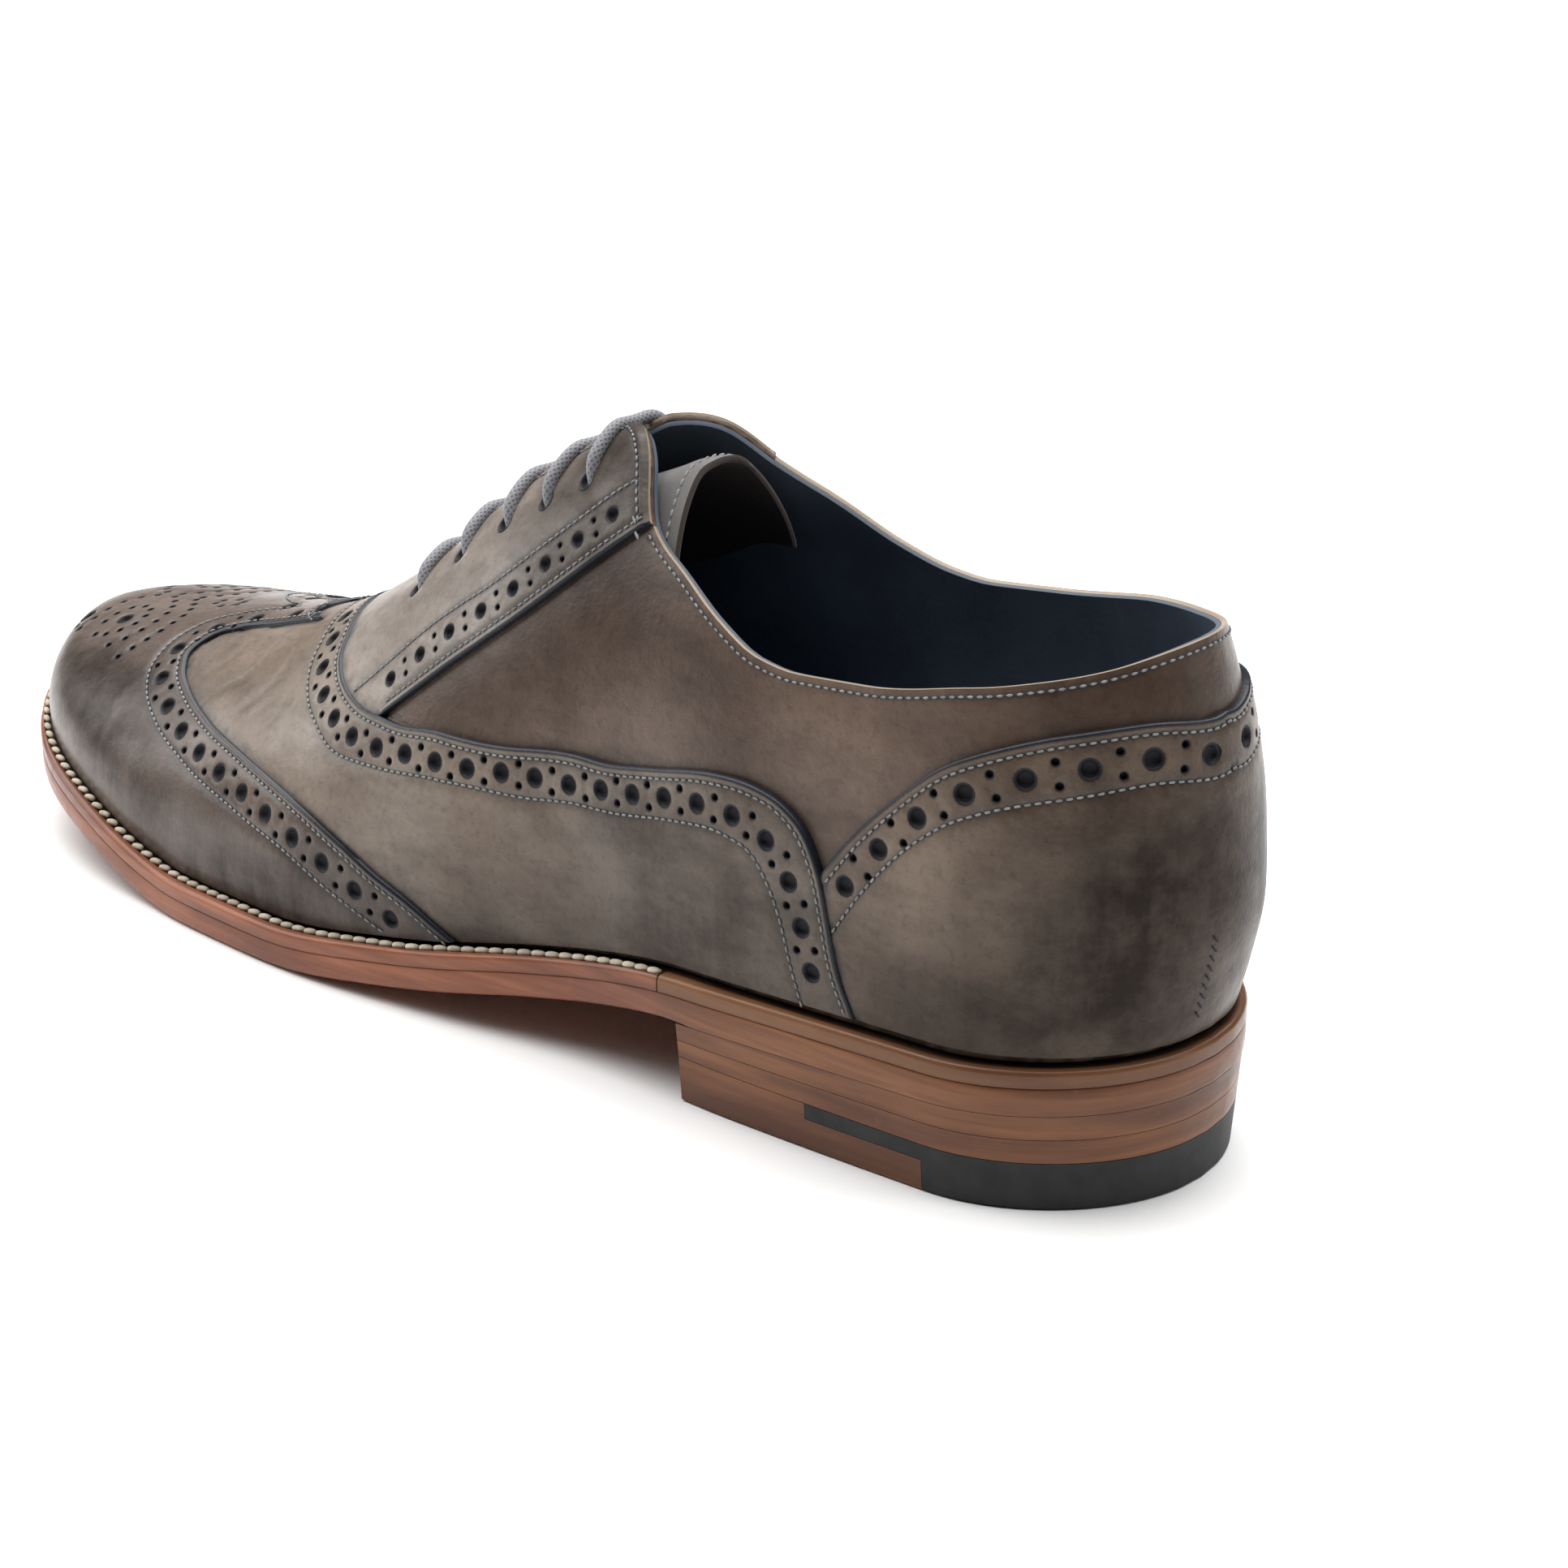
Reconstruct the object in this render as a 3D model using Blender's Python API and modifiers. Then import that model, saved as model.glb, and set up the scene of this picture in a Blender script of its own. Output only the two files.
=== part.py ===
"""Full brogue lace-up shoe for the left foot, drawn piece by piece on one last form.

Toe towards -X, inner side of the foot towards +Y, floor at Z = 0.
Sizes below are millimetres.
"""
import math
from typing import NamedTuple

import bmesh
import bpy
import numpy as np

MM = 0.001
COLLECTION = "brogue"
CUTTERS = "brogue_cutters"

# Main sizes of the shoe
FEATHER_LENGTH = 288.0
HEEL_X = 143.95
AXIS_Y = -4.2
SOLE_THICK = 5.0
WELT_THICK = 3.2
WALL_THICK = 2.0
INSOLE_THICK = 2.8
GAP = 0.3
PANEL_GAP = 0.4
WING_GAP = 0.55

# Rounding of the plan at toe and heel, as superellipse length and power
TOE_ROUND = 64.0
TOE_POWER = 2.15
HEEL_ROUND = 33.0
HEEL_POWER = 2.0
TOE_WALL = 8.5
TOE_CROWN_ROUND = 59.0
BACK_REACH = 90.0
LEAN_FADE = 3.0

# Edges of the sole stack, measured outwards from the feather line
WELT_INNER = -9.0
INSOLE_PLUG = -10.0
INSOLE_MARGIN = -3.3
EDGE_ROUND = 0.8
RAND_END = 90.0

# Heel
HEEL_BREAST = 86.0
HEEL_INSET = 0.9
HEEL_TAPER = 0.8
BREAST_BOW = 2.5
BREAST_POWER = 4
CUTTER_WIDTH = 120.0
TOP_PIECE_THICK = 9.0
RUBBER_FRONT = 34.0
RUBBER_LAP_FRONT = 58.0
RUBBER_LAP_Z = 6.1

# Panels laid on the upper
WING_THICK = 1.7
VAMP_THICK = 1.1
STAY_THICK = 0.9
COUNTER_THICK = 0.9
SEAM_GAP = 0.5
GIRTH_HALF = 75.0
SEAM_STEP = 0.005
PANEL_FOOT = 0.012
WING_FOOT = 0.025
COUNTER_SHARED = 40.0
WING_SHARED = 240.0

# Throat, tongue and lacing
THROAT_END = 182.0
FACING_TOP = 122.0
SLOT_HALF = 3.0
SLOT_TAPER = 14.0
TONGUE_TOP = 99.0
TONGUE_FOOT = 196.0
TONGUE_HALF = 23.0
TONGUE_THICK = 2.0
TONGUE_SAG = 6.0
TONGUE_NARROW = 0.25
TONGUE_CORNER = 5.0
FREE_FROM = 128.0
LACE_RADIUS = 1.25
LACE_FOOT_T = 0.76
LACE_STATIONS = (170.5, 158.5, 147.0, 136.5, 126.5)

# Fineness of the lofts
STATIONS = 38
STATION_CLEAR = 3.0
WALL_ROWS = 10
WING_ROWS = 8
VAMP_ROWS = 7
COUNTER_COLUMNS = 6
STAY_ROWS = 8
STAY_COLUMNS = 9
TONGUE_ROWS = 10
TONGUE_COLUMNS = 5
LACE_STEPS = 5
SOLE_STATIONS = 32
INSOLE_STATIONS = 26
PLATE_COLUMNS = 4
FOLD_TIE = 0.01
WING_COLUMNS = (WING_FOOT, 0.1, 0.2, 0.3, 0.4, 0.5, 0.55, 0.6, 0.7, 0.76, 0.82, 0.85, 0.87, 0.93, 1.0)
VAMP_COLUMNS = (PANEL_FOOT, 0.1, 0.2, 0.24, 0.265, 0.277, 0.283, 0.3, 0.32, 0.34, 0.37, 0.4, 0.43,
                0.46, 0.5, 0.55, 0.6, 0.7, 0.76, 0.82, 0.85, 0.87, 0.93, 1.0)


class Section(NamedTuple):
    """Cross-section of the last at one station from the heel."""

    station: float
    axis: float
    lateral: float
    medial: float
    ridge: float
    wall: float
    crown: float
    lean: float


LAST = (
    Section(0.0, 0.0, 29.5, 29.5, 112.0, 0.55, 0.75, 4.0),
    Section(35.0, 0.0, 32.5, 30.0, 118.0, 0.55, 0.75, 4.0),
    Section(75.0, 0.0, 34.0, 28.0, 117.5, 0.51, 0.68, 4.8),
    Section(110.0, 0.0, 32.5, 26.0, 114.0, 0.44, 0.57, 5.8),
    Section(145.0, 0.0, 37.0, 29.0, 96.0, 0.42, 0.45, 7.0),
    Section(180.0, 0.0, 40.0, 38.0, 68.5, 0.42, 0.42, 7.0),
    Section(205.0, 0.5, 39.5, 45.0, 54.5, 0.45, 0.45, 6.0),
    Section(230.0, 2.5, 39.0, 46.0, 47.0, 0.50, 0.50, 5.0),
    Section(255.0, 4.5, 39.5, 43.5, 43.5, 0.60, 0.55, 4.0),
    Section(288.0, 5.5, 40.5, 40.5, 44.0, 0.65, 0.60, 3.0),
)


class Profile(NamedTuple):
    """Height of the tread above the floor at one station."""

    station: float
    height: float


TREAD = (
    Profile(-4.0, 18.6),
    Profile(85.0, 15.8),
    Profile(120.0, 9.8),
    Profile(155.0, 3.3),
    Profile(186.0, 0.0),
    Profile(212.0, 0.0),
    Profile(250.0, 7.5),
    Profile(296.0, 17.8),
)


class Margin(NamedTuple):
    """How far the sole edge stands out from the feather line."""

    station: float
    width: float


SOLE_EDGE = (
    Margin(0.0, 3.1),
    Margin(60.0, 3.3),
    Margin(95.0, 4.1),
    Margin(140.0, 5.2),
    Margin(200.0, 6.2),
    Margin(258.0, 5.6),
    Margin(288.0, 3.2),
)


class BackCurve(NamedTuple):
    """Forward shift of the heel's back line by height above the seat."""

    rise: float
    shift: float


BACK = (
    BackCurve(0.0, 2.6),
    BackCurve(10.0, 0.0),
    BackCurve(22.0, -2.0),
    BackCurve(36.0, -1.4),
    BackCurve(50.0, 0.6),
    BackCurve(64.0, 3.9),
    BackCurve(90.0, 12.0),
)


class Collar(NamedTuple):
    """Top edge of the upper, as height parameter on either side."""

    station: float
    lateral: float
    medial: float


COLLAR = (
    Collar(0.0, 0.597, 0.597),
    Collar(9.0, 0.545, 0.550),
    Collar(18.0, 0.508, 0.515),
    Collar(29.0, 0.475, 0.490),
    Collar(51.0, 0.440, 0.462),
    Collar(65.0, 0.438, 0.458),
    Collar(74.0, 0.450, 0.472),
    Collar(84.0, 0.492, 0.515),
    Collar(95.0, 0.560, 0.600),
    Collar(106.0, 0.640, 0.700),
    Collar(114.0, 0.795, 0.830),
    Collar(122.0, 0.915, 0.915),
)


class Seam(NamedTuple):
    """Point of a panel edge: height parameter and station."""

    height: float
    station: float


WING_EDGE = (
    Seam(0.00, 140.0),
    Seam(0.08, 149.5),
    Seam(0.20, 166.5),
    Seam(0.34, 188.5),
    Seam(0.48, 216.0),
    Seam(0.55, 226.5),
    Seam(0.62, 233.0),
    Seam(0.69, 236.0),
    Seam(0.76, 235.0),
    Seam(0.82, 230.0),
    Seam(0.85, 221.0),
    Seam(0.87, 206.0),
    Seam(0.93, 209.0),
    Seam(1.00, 213.0),
)

VAMP_EDGE = (
    Seam(0.00, 48.0),
    Seam(0.13, 53.5),
    Seam(0.19, 56.0),
    Seam(0.24, 60.0),
    Seam(0.265, 66.0),
    Seam(0.277, 78.0),
    Seam(0.282, 95.0),
    Seam(0.290, 110.0),
    Seam(0.312, 125.0),
    Seam(0.34, 136.5),
    Seam(0.37, 146.0),
    Seam(0.40, 156.0),
    Seam(0.43, 162.5),
    Seam(0.47, 169.5),
    Seam(0.52, 175.0),
    Seam(0.60, 181.8),
    Seam(0.72, 187.5),
    Seam(0.85, 192.5),
    Seam(1.00, 195.0),
)


class Height(NamedTuple):
    """Point of a panel edge along the shoe: station and height parameter."""

    station: float
    height: float


COUNTER_EDGE = (
    Height(0.0, 0.470),
    Height(5.0, 0.465),
    Height(14.5, 0.438),
    Height(28.0, 0.385),
    Height(42.5, 0.298),
    Height(50.0, 0.238),
    Height(56.0, 0.190),
)

STAY_EDGE = (
    Height(106.0, 0.640),
    Height(113.0, 0.600),
    Height(130.0, 0.532),
    Height(151.0, 0.470),
    Height(163.0, 0.432),
)

LATERAL = -1
MEDIAL = 1

# Base colours of the pieces
CALF = (0.20, 0.17, 0.15)
CALF_DARK = (0.09, 0.08, 0.075)
CALF_HEEL = (0.12, 0.10, 0.09)
TONGUE_GREY = (0.05, 0.05, 0.055)
SOLE_BROWN = (0.24, 0.10, 0.055)
WELT_BROWN = (0.26, 0.11, 0.06)
RAND_TAN = (0.36, 0.18, 0.09)
INSOLE_TAN = (0.45, 0.33, 0.22)
RUBBER_GREY = (0.03, 0.032, 0.035)
LACE_GREY = (0.10, 0.10, 0.11)


def column(table, name):
    """Values of one named column of a table."""
    return np.array([getattr(row, name) for row in table], dtype=float)


def smooth(table, key, name, at):
    """Monotone cubic through a column of a table, held flat outside it."""
    xs = column(table, key)
    ys = column(table, name)
    at = np.clip(np.asarray(at, dtype=float), xs[0], xs[-1])
    step = np.diff(xs)
    rise = np.diff(ys) / step
    slope = np.zeros_like(ys)
    weight_a = 2.0 * step[1:] + step[:-1]
    weight_b = step[1:] + 2.0 * step[:-1]
    same = rise[:-1] * rise[1:] > 0.0
    low = np.where(same, weight_a * rise[1:] + weight_b * rise[:-1], 1.0)
    slope[1:-1] = np.where(same, (weight_a + weight_b) * rise[:-1] * rise[1:] / low, 0.0)
    slope[0] = rise[0]
    slope[-1] = rise[-1]
    i = np.clip(np.searchsorted(xs, at) - 1, 0, len(step) - 1)
    f = (at - xs[i]) / step[i]
    start = ys[i] * (1.0 + 2.0 * f) * (1.0 - f) ** 2 + step[i] * slope[i] * f * (1.0 - f) ** 2
    end = ys[i + 1] * f * f * (3.0 - 2.0 * f) + step[i] * slope[i + 1] * f * f * (f - 1.0)
    return start + end


def tread_z(x):
    """Underside of the outsole above the floor at a place along the shoe."""
    return smooth(TREAD, "station", "height", HEEL_X - np.asarray(x, dtype=float))


def feather_z(x):
    """Top of the welt, where the upper meets the sole."""
    return tread_z(x) + SOLE_THICK + WELT_THICK


def rounding(distance, length, power):
    """Superellipse fall-off to zero at the end of the shoe."""
    q = np.clip(1.0 - distance / length, 0.0, 1.0)
    return (1.0 - q ** power) ** (1.0 / power)


def ridge_line(station):
    """Sideways place of the ridge, with the shoe's width centred on the origin."""
    return AXIS_Y + smooth(LAST, "station", "axis", station)


def form(station, height, side):
    """Points of the last: station from the heel, height parameter 0 at feather to 1 at ridge."""
    s = np.asarray(station, dtype=float)
    t = np.asarray(height, dtype=float)
    to_toe = FEATHER_LENGTH - s
    plan = rounding(s, HEEL_ROUND, HEEL_POWER) * rounding(to_toe, TOE_ROUND, TOE_POWER)
    half = smooth(LAST, "station", "lateral" if side == LATERAL else "medial", s) * plan
    axis = ridge_line(s)
    reach = np.clip(1.0 - s / BACK_REACH, 0.0, 1.0) ** 2
    low = feather_z(HEEL_X - s - BACK[0].shift * reach)
    crown_round = rounding(to_toe, TOE_CROWN_ROUND, TOE_POWER)
    top = low + TOE_WALL + (smooth(LAST, "station", "ridge", s) - low - TOE_WALL) * crown_round
    lean = smooth(LAST, "station", "lean", s) * np.minimum(1.0, LEAN_FADE * plan) * plan
    wall_z = low + (top - low) * smooth(LAST, "station", "wall", s)
    crown_y = half * smooth(LAST, "station", "crown", s)
    a = (1.0 - t) ** 3
    b = 3.0 * t * (1.0 - t) ** 2
    c = 3.0 * t * t * (1.0 - t)
    d = t ** 3
    y = axis + side * (a * half + b * (half + lean) + c * crown_y)
    z = a * low + b * wall_z + (c + d) * top
    shift = smooth(BACK, "rise", "shift", z - feather_z(HEEL_X))
    x = HEEL_X - s - shift * reach
    return np.stack(np.broadcast_arrays(x, y, z), axis=-1)


def form_normal(station, height, side):
    """Outward unit normal of the last form."""
    step_s = 0.5
    step_t = 0.01
    s = np.clip(np.asarray(station, dtype=float), 2.0, FEATHER_LENGTH - 2.0)
    t = np.clip(np.asarray(height, dtype=float), step_t, 0.98)
    along = form(s + step_s, t, side) - form(s - step_s, t, side)
    across = form(s, t + step_t, side) - form(s, t - step_t, side)
    normal = np.cross(along, across) * side
    return normal / np.linalg.norm(normal, axis=-1, keepdims=True)


def spread_stations(count):
    """Stations crowded towards heel and toe so that both ends stay round."""
    angle = np.linspace(0.0, math.pi, count + 1)
    return FEATHER_LENGTH * (1.0 - np.cos(angle)) / 2.0


def stations_through(count, keys, clear):
    """Spread stations with given ones put in and crowded neighbours left out."""
    spread = spread_stations(count)
    kept = [s for s in spread if all(abs(s - k) > clear for k in keys)]
    return np.array(sorted(kept + list(keys)))


def slot_height(station, side, half):
    """Height parameter where the form lies a given distance from its ridge line."""
    low = np.full(np.shape(station), 0.5)
    high = np.ones(np.shape(station))
    centre = ridge_line(station)
    for _ in range(30):
        middle = (low + high) / 2.0
        outside = np.abs(form(station, middle, side)[..., 1] - centre) > half
        low = np.where(outside, middle, low)
        high = np.where(outside, high, middle)
    return (low + high) / 2.0


def slot_half(station):
    """Half width of the lacing gap, closing to a point at the throat."""
    return SLOT_HALF * np.clip((THROAT_END - station) / SLOT_TAPER, 0.0, 1.0)


def top_height(stations, side):
    """Top edge of the upper: collar, then facing edge, then the closed ridge."""
    facing = slot_height(stations, side, slot_half(stations))
    collar = smooth(COLLAR, "station", "lateral" if side == LATERAL else "medial", stations)
    edge = np.where(stations >= FACING_TOP, facing, collar)
    return np.where(stations >= THROAT_END, 1.0, edge)


def tip_heights(heights):
    """Height parameters of the toe's tip column, spread evenly up its short wall."""
    return 1.0 - np.sqrt(1.0 - heights)


def seam_station(table, height):
    """Station of a panel edge at a height parameter."""
    return smooth(table, "height", "station", height)


def seam_clearance(table, heights):
    """Step along the foot that keeps the seam gap square to a slanting edge."""
    ahead = seam_station(table, heights + SEAM_STEP)
    behind = seam_station(table, heights - SEAM_STEP)
    slope = (ahead - behind) / (2.0 * SEAM_STEP * GIRTH_HALF)
    return SEAM_GAP * np.sqrt(1.0 + slope ** 2)


def edge_height(table, station):
    """Height parameter of a panel edge at a station."""
    return smooth(table, "station", "height", station)


class Builder:
    """Collects vertices and faces of one piece and turns them into an object."""

    def __init__(self, name):
        """Start an empty piece."""
        self.name = name
        self.points = []
        self.faces = []
        self.welds = {}

    def vertex(self, point):
        """Add a vertex, reusing one that lies at the same place."""
        key = tuple(round(float(v), 4) for v in point)
        if key not in self.welds:
            self.welds[key] = len(self.points)
            self.points.append(key)
        return self.welds[key]

    def face(self, corners):
        """Add a face, leaving out corners that fall together."""
        kept = [v for i, v in enumerate(corners) if v != corners[i - 1]]
        if len(set(kept)) == len(kept) and len(kept) > 2:
            self.faces.append(kept)

    def quad(self, a, b, c, d):
        """Add a four-cornered face, folded along its shorter diagonal."""
        first = math.dist(self.points[a], self.points[c])
        second = math.dist(self.points[b], self.points[d])
        if first <= second + FOLD_TIE:
            halves = ((a, b, c), (a, c, d))
        else:
            halves = ((a, b, d), (b, c, d))
        for corners in halves:
            self.face(corners)

    def grid(self, points, flip):
        """Add a grid of folded quads from an array of points."""
        ids = [[self.vertex(p) for p in row] for row in points]
        for i in range(len(ids) - 1):
            for j in range(len(ids[0]) - 1):
                corners = (ids[i][j], ids[i + 1][j], ids[i + 1][j + 1], ids[i][j + 1])
                self.quad(*(corners[::-1] if flip else corners))

    def object(self, colour, roughness):
        """Make the Blender object with its own material."""
        mesh = bpy.data.meshes.new(self.name)
        mesh.from_pydata([tuple(v * MM for v in p) for p in self.points], [], self.faces)
        mesh.update()
        return finish(bpy.data.objects.new(self.name, mesh), colour, roughness)


def finish(obj, colour, roughness):
    """Put an object in the part's collection with a Principled material."""
    bpy.data.collections[COLLECTION].objects.link(obj)
    material = bpy.data.materials.new(obj.name)
    material.use_nodes = True
    shader = material.node_tree.nodes["Principled BSDF"]
    shader.inputs["Base Color"].default_value = (*colour, 1.0)
    shader.inputs["Roughness"].default_value = roughness
    obj.data.materials.clear()
    obj.data.materials.append(material)
    return obj


def square_up(obj):
    """Turn all faces of a closed piece outwards."""
    bm = bmesh.new()
    bm.from_mesh(obj.data)
    bmesh.ops.recalc_face_normals(bm, faces=bm.faces)
    bm.to_mesh(obj.data)
    bm.free()


def thicken(obj, thick, outwards):
    """Give a surface its leather thickness."""
    solid = obj.modifiers.new("thickness", "SOLIDIFY")
    solid.thickness = thick * MM
    solid.offset = 1.0 if outwards else -1.0
    solid.use_quality_normals = True


def lift(obj, distance):
    """Move a surface outwards along its own normals."""
    bm = bmesh.new()
    bm.from_mesh(obj.data)
    bm.normal_update()
    for vert in bm.verts:
        vert.co += vert.normal * distance * MM
    bm.to_mesh(obj.data)
    bm.free()


def wall_stations():
    """Stations of the upper's wall, with the corners of collar and throat among them."""
    collar = tuple(row.station for row in (COLLAR[1], *COLLAR[7:]))
    keys = collar + (THROAT_END, THROAT_END - SLOT_TAPER)
    return stations_through(STATIONS, keys, STATION_CLEAR)


def build_upper():
    """Hollow upper: wall from feather to collar, open at the throat and underneath."""
    stations = wall_stations()
    builder = Builder("upper")
    for side in (LATERAL, MEDIAL):
        heights = np.outer(top_height(stations, side), np.linspace(0.0, 1.0, WALL_ROWS + 1))
        heights[-1] = tip_heights(heights[-1])
        points = form(stations[:, None], heights, side)
        points[..., 2] += GAP
        builder.grid(points, side == LATERAL)
    thicken(builder.object(CALF, 0.45), WALL_THICK, False)


def panel(name, colour, thick, halves, gap=PANEL_GAP):
    """Panel lying on the upper, from grids for each side of the foot."""
    builder = Builder(name)
    for side, stations, heights in halves:
        points = form(np.array(stations), np.array(heights), side)
        points[..., 2] += GAP
        builder.grid(points, side == LATERAL)
    obj = builder.object(colour, 0.4)
    lift(obj, gap)
    thicken(obj, thick, True)


def build_toe_cap():
    """Wing-shaped toe cap with its fishtail point on the ridge."""
    heights = np.array(WING_COLUMNS)
    edge = seam_station(WING_EDGE, heights)
    along = np.linspace(0.0, 1.0, WING_ROWS + 1)[:-1, None]
    behind = edge + (WING_SHARED - edge) * along
    ahead = np.array([s for s in wall_stations() if s > WING_SHARED + 1.0])[:, None] + 0.0 * edge
    stations = np.concatenate([behind, ahead])
    rows = np.tile(heights, (len(stations), 1))
    rows[-1] = np.maximum(tip_heights(heights), WING_FOOT)
    halves = [(side, stations, rows) for side in (LATERAL, MEDIAL)]
    panel("toe_cap", CALF_DARK, WING_THICK, halves, WING_GAP)


def build_vamp():
    """Vamp between the wing and the edge that sweeps back along the foot."""
    heights = np.array(VAMP_COLUMNS)
    along = np.linspace(0.0, 1.0, VAMP_ROWS + 1)[:, None]
    front = seam_station(WING_EDGE, heights) - seam_clearance(WING_EDGE, heights)
    rear = seam_station(VAMP_EDGE, heights)
    stations = rear + (front - rear) * along
    halves = [(side, stations, heights[None, :]) for side in (LATERAL, MEDIAL)]
    panel("vamp", CALF, VAMP_THICK, halves)


def build_counter():
    """Heel counter from the back seam to the end of the vamp."""
    shared = [s for s in wall_stations() if s < COUNTER_SHARED]
    rows = np.array(shared + [COUNTER_SHARED, COUNTER_SHARED])[:, None]
    forward = np.array([0.0] * len(shared) + [0.4, 1.0])[:, None]
    up = np.linspace(0.0, 1.0, COUNTER_COLUMNS + 1)[None, :]
    stations = rows + 0.0 * up
    for _ in range(12):
        heights = PANEL_FOOT + up * (edge_height(COUNTER_EDGE, stations) - PANEL_FOOT)
        front = seam_station(VAMP_EDGE, np.minimum(heights, COUNTER_EDGE[-1].height)) - SEAM_GAP
        stations = rows + forward * (front - rows)
    halves = [(side, stations, heights) for side in (LATERAL, MEDIAL)]
    panel("heel_counter", CALF_HEEL, COUNTER_THICK, halves)


def build_eyestay(name, side):
    """Facing panel that carries the eyelets along one side of the throat."""
    along = np.linspace(0.0, 1.0, STAY_ROWS + 1)[:, None]
    up = np.linspace(0.0, 1.0, STAY_COLUMNS + 1)[None, :]
    stations = (FACING_TOP + THROAT_END) / 2.0 + 0.0 * along * up
    for _ in range(24):
        low = edge_height(STAY_EDGE, stations)
        high = slot_height(stations, side, slot_half(stations) + SEAM_GAP)
        heights = low + up * (high - low)
        front = seam_station(VAMP_EDGE, heights) - 2.0 * SEAM_GAP
        rear = rear_station(heights, side) + SEAM_GAP
        stations = (stations + rear + along * (front - rear)) / 2.0
    panel(name, CALF, STAY_THICK, [(side, stations, heights)])


def rear_station(height, side):
    """Station of the facing's rear edge at a height parameter."""
    name = "lateral" if side == LATERAL else "medial"
    front_rows = COLLAR[-4:]
    return np.interp(height, column(front_rows, name), column(front_rows, "station"))


def build_tongue():
    """Tongue under the facings, standing free behind their top corner."""
    stations = np.linspace(TONGUE_TOP, TONGUE_FOOT, TONGUE_ROWS + 1)
    ahead = (stations - TONGUE_TOP) / TONGUE_CORNER
    half = TONGUE_HALF * (1.0 - TONGUE_NARROW * np.exp(-ahead))
    free = np.clip((FREE_FROM - stations) / (FREE_FROM - TONGUE_TOP), 0.0, 1.0)
    depth = WALL_THICK + 2.0 * GAP + TONGUE_SAG * free ** 1.5
    sheets = []
    for side in (LATERAL, MEDIAL):
        edge = slot_height(stations, side, half)[:, None]
        heights = edge + (1.0 - edge) * np.linspace(0.0, 1.0, TONGUE_COLUMNS + 1)
        points = form(stations[:, None], heights, side)
        points -= form_normal(stations[:, None] + 0.0 * heights, heights, side) * depth[:, None, None]
        points[..., 2] += GAP
        sheets.append(points)
    middle = (sheets[0][:, -1] + sheets[1][:, -1]) / 2.0
    builder = Builder("tongue")
    for side, points in zip((LATERAL, MEDIAL), sheets):
        points[:, -1] = middle
        builder.grid(points, side == LATERAL)
    thicken(builder.object(TONGUE_GREY, 0.6), TONGUE_THICK, False)


def plan_edge(stations, side, grow):
    """Plan points of the feather line moved outwards by a margin per station."""
    s = np.asarray(stations, dtype=float)
    fine = spread_stations(720)
    line = form(fine, np.zeros_like(fine), side)[:, :2]
    tangent = np.gradient(line, axis=0)
    tangent[0] = (0.0, side)
    tangent[-1] = (0.0, -side)
    tangent /= np.linalg.norm(tangent, axis=1, keepdims=True)
    outward = np.stack([-tangent[:, 1], tangent[:, 0]], axis=1) * -side
    moved = line + outward * np.asarray(grow(fine))[:, None]
    return np.stack([np.interp(s, fine, moved[:, k]) for k in range(2)], axis=1)


def sole_margin(inset):
    """Margin of the sole edge, drawn in by an inset."""
    return lambda s: smooth(SOLE_EDGE, "station", "width", s) - inset


def feather_margin(grow):
    """Constant margin from the feather line."""
    return lambda s: np.full_like(s, grow)


def plate(name, colour, stations, levels, bow=0.0):
    """Closed plate from stacked outlines; each level is a margin and a height rule."""
    builder = Builder(name)
    across = np.linspace(0.0, 1.0, PLATE_COLUMNS + 1)
    forward = (stations / stations[-1]) ** BREAST_POWER
    layers = []
    for margin, height in levels:
        lateral = plan_edge(stations, LATERAL, margin)
        medial = plan_edge(stations, MEDIAL, margin)
        share = across[None, :, None]
        xy = lateral[:, None, :] * (1.0 - share) + medial[:, None, :] * share
        xy[..., 0] += bow * forward[:, None] * 4.0 * across * (1.0 - across)
        layers.append(np.dstack([xy, height(xy[..., 0])]))
    builder.grid(layers[0], False)
    builder.grid(layers[-1], True)
    for low, high in zip(layers, layers[1:]):
        builder.grid(np.stack([low[:, 0], high[:, 0]], axis=1), False)
        builder.grid(np.stack([low[:, -1], high[:, -1]], axis=1), True)
        builder.grid(np.stack([low[-1], high[-1]], axis=1), False)
        builder.grid(np.stack([low[0], high[0]], axis=1), True)
    obj = builder.object(colour, 0.5)
    square_up(obj)
    return obj


def strip(name, colour, stations, inner, low, high):
    """Closed band round one end of the sole, from an inner margin to the sole edge."""
    builder = Builder(name)
    rails = []
    corner = EDGE_ROUND / 2.0
    profile = (
        (sole_margin(corner), low),
        (sole_margin(0.0), lambda x: low(x) + corner),
        (sole_margin(0.0), lambda x: high(x) - corner),
        (sole_margin(corner), high),
        (feather_margin(inner), high),
        (feather_margin(inner), low),
    )
    for margin, height in profile:
        lateral = plan_edge(stations, LATERAL, margin)
        medial = plan_edge(stations, MEDIAL, margin)[::-1]
        path = np.concatenate([lateral, medial[1:]])
        rails.append(np.column_stack([path, height(path[:, 0])]))
    rails.append(rails[0])
    builder.grid(np.stack(rails, axis=1), False)
    for end in (0, -1):
        builder.face([builder.vertex(rail[end]) for rail in rails[:-1]])
    obj = builder.object(colour, 0.5)
    square_up(obj)


def stations_between(start, end, count):
    """Spread stations of the foot that lie between two ends, ends included."""
    spread = spread_stations(count)
    inside = [s for s in spread if start + 2.0 < s < end - 2.0]
    return np.array([start] + inside + [end])


def level(z):
    """Height rule of a flat face."""
    return lambda x: np.full_like(x, z)


def over_tread(rise):
    """Height rule that follows the tread."""
    return lambda x: tread_z(x) + rise


def lift_seam(rise):
    """Height rule half way between the top piece and the outsole."""
    return lambda x: (TOP_PIECE_THICK + tread_z(x)) / 2.0 + rise


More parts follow.
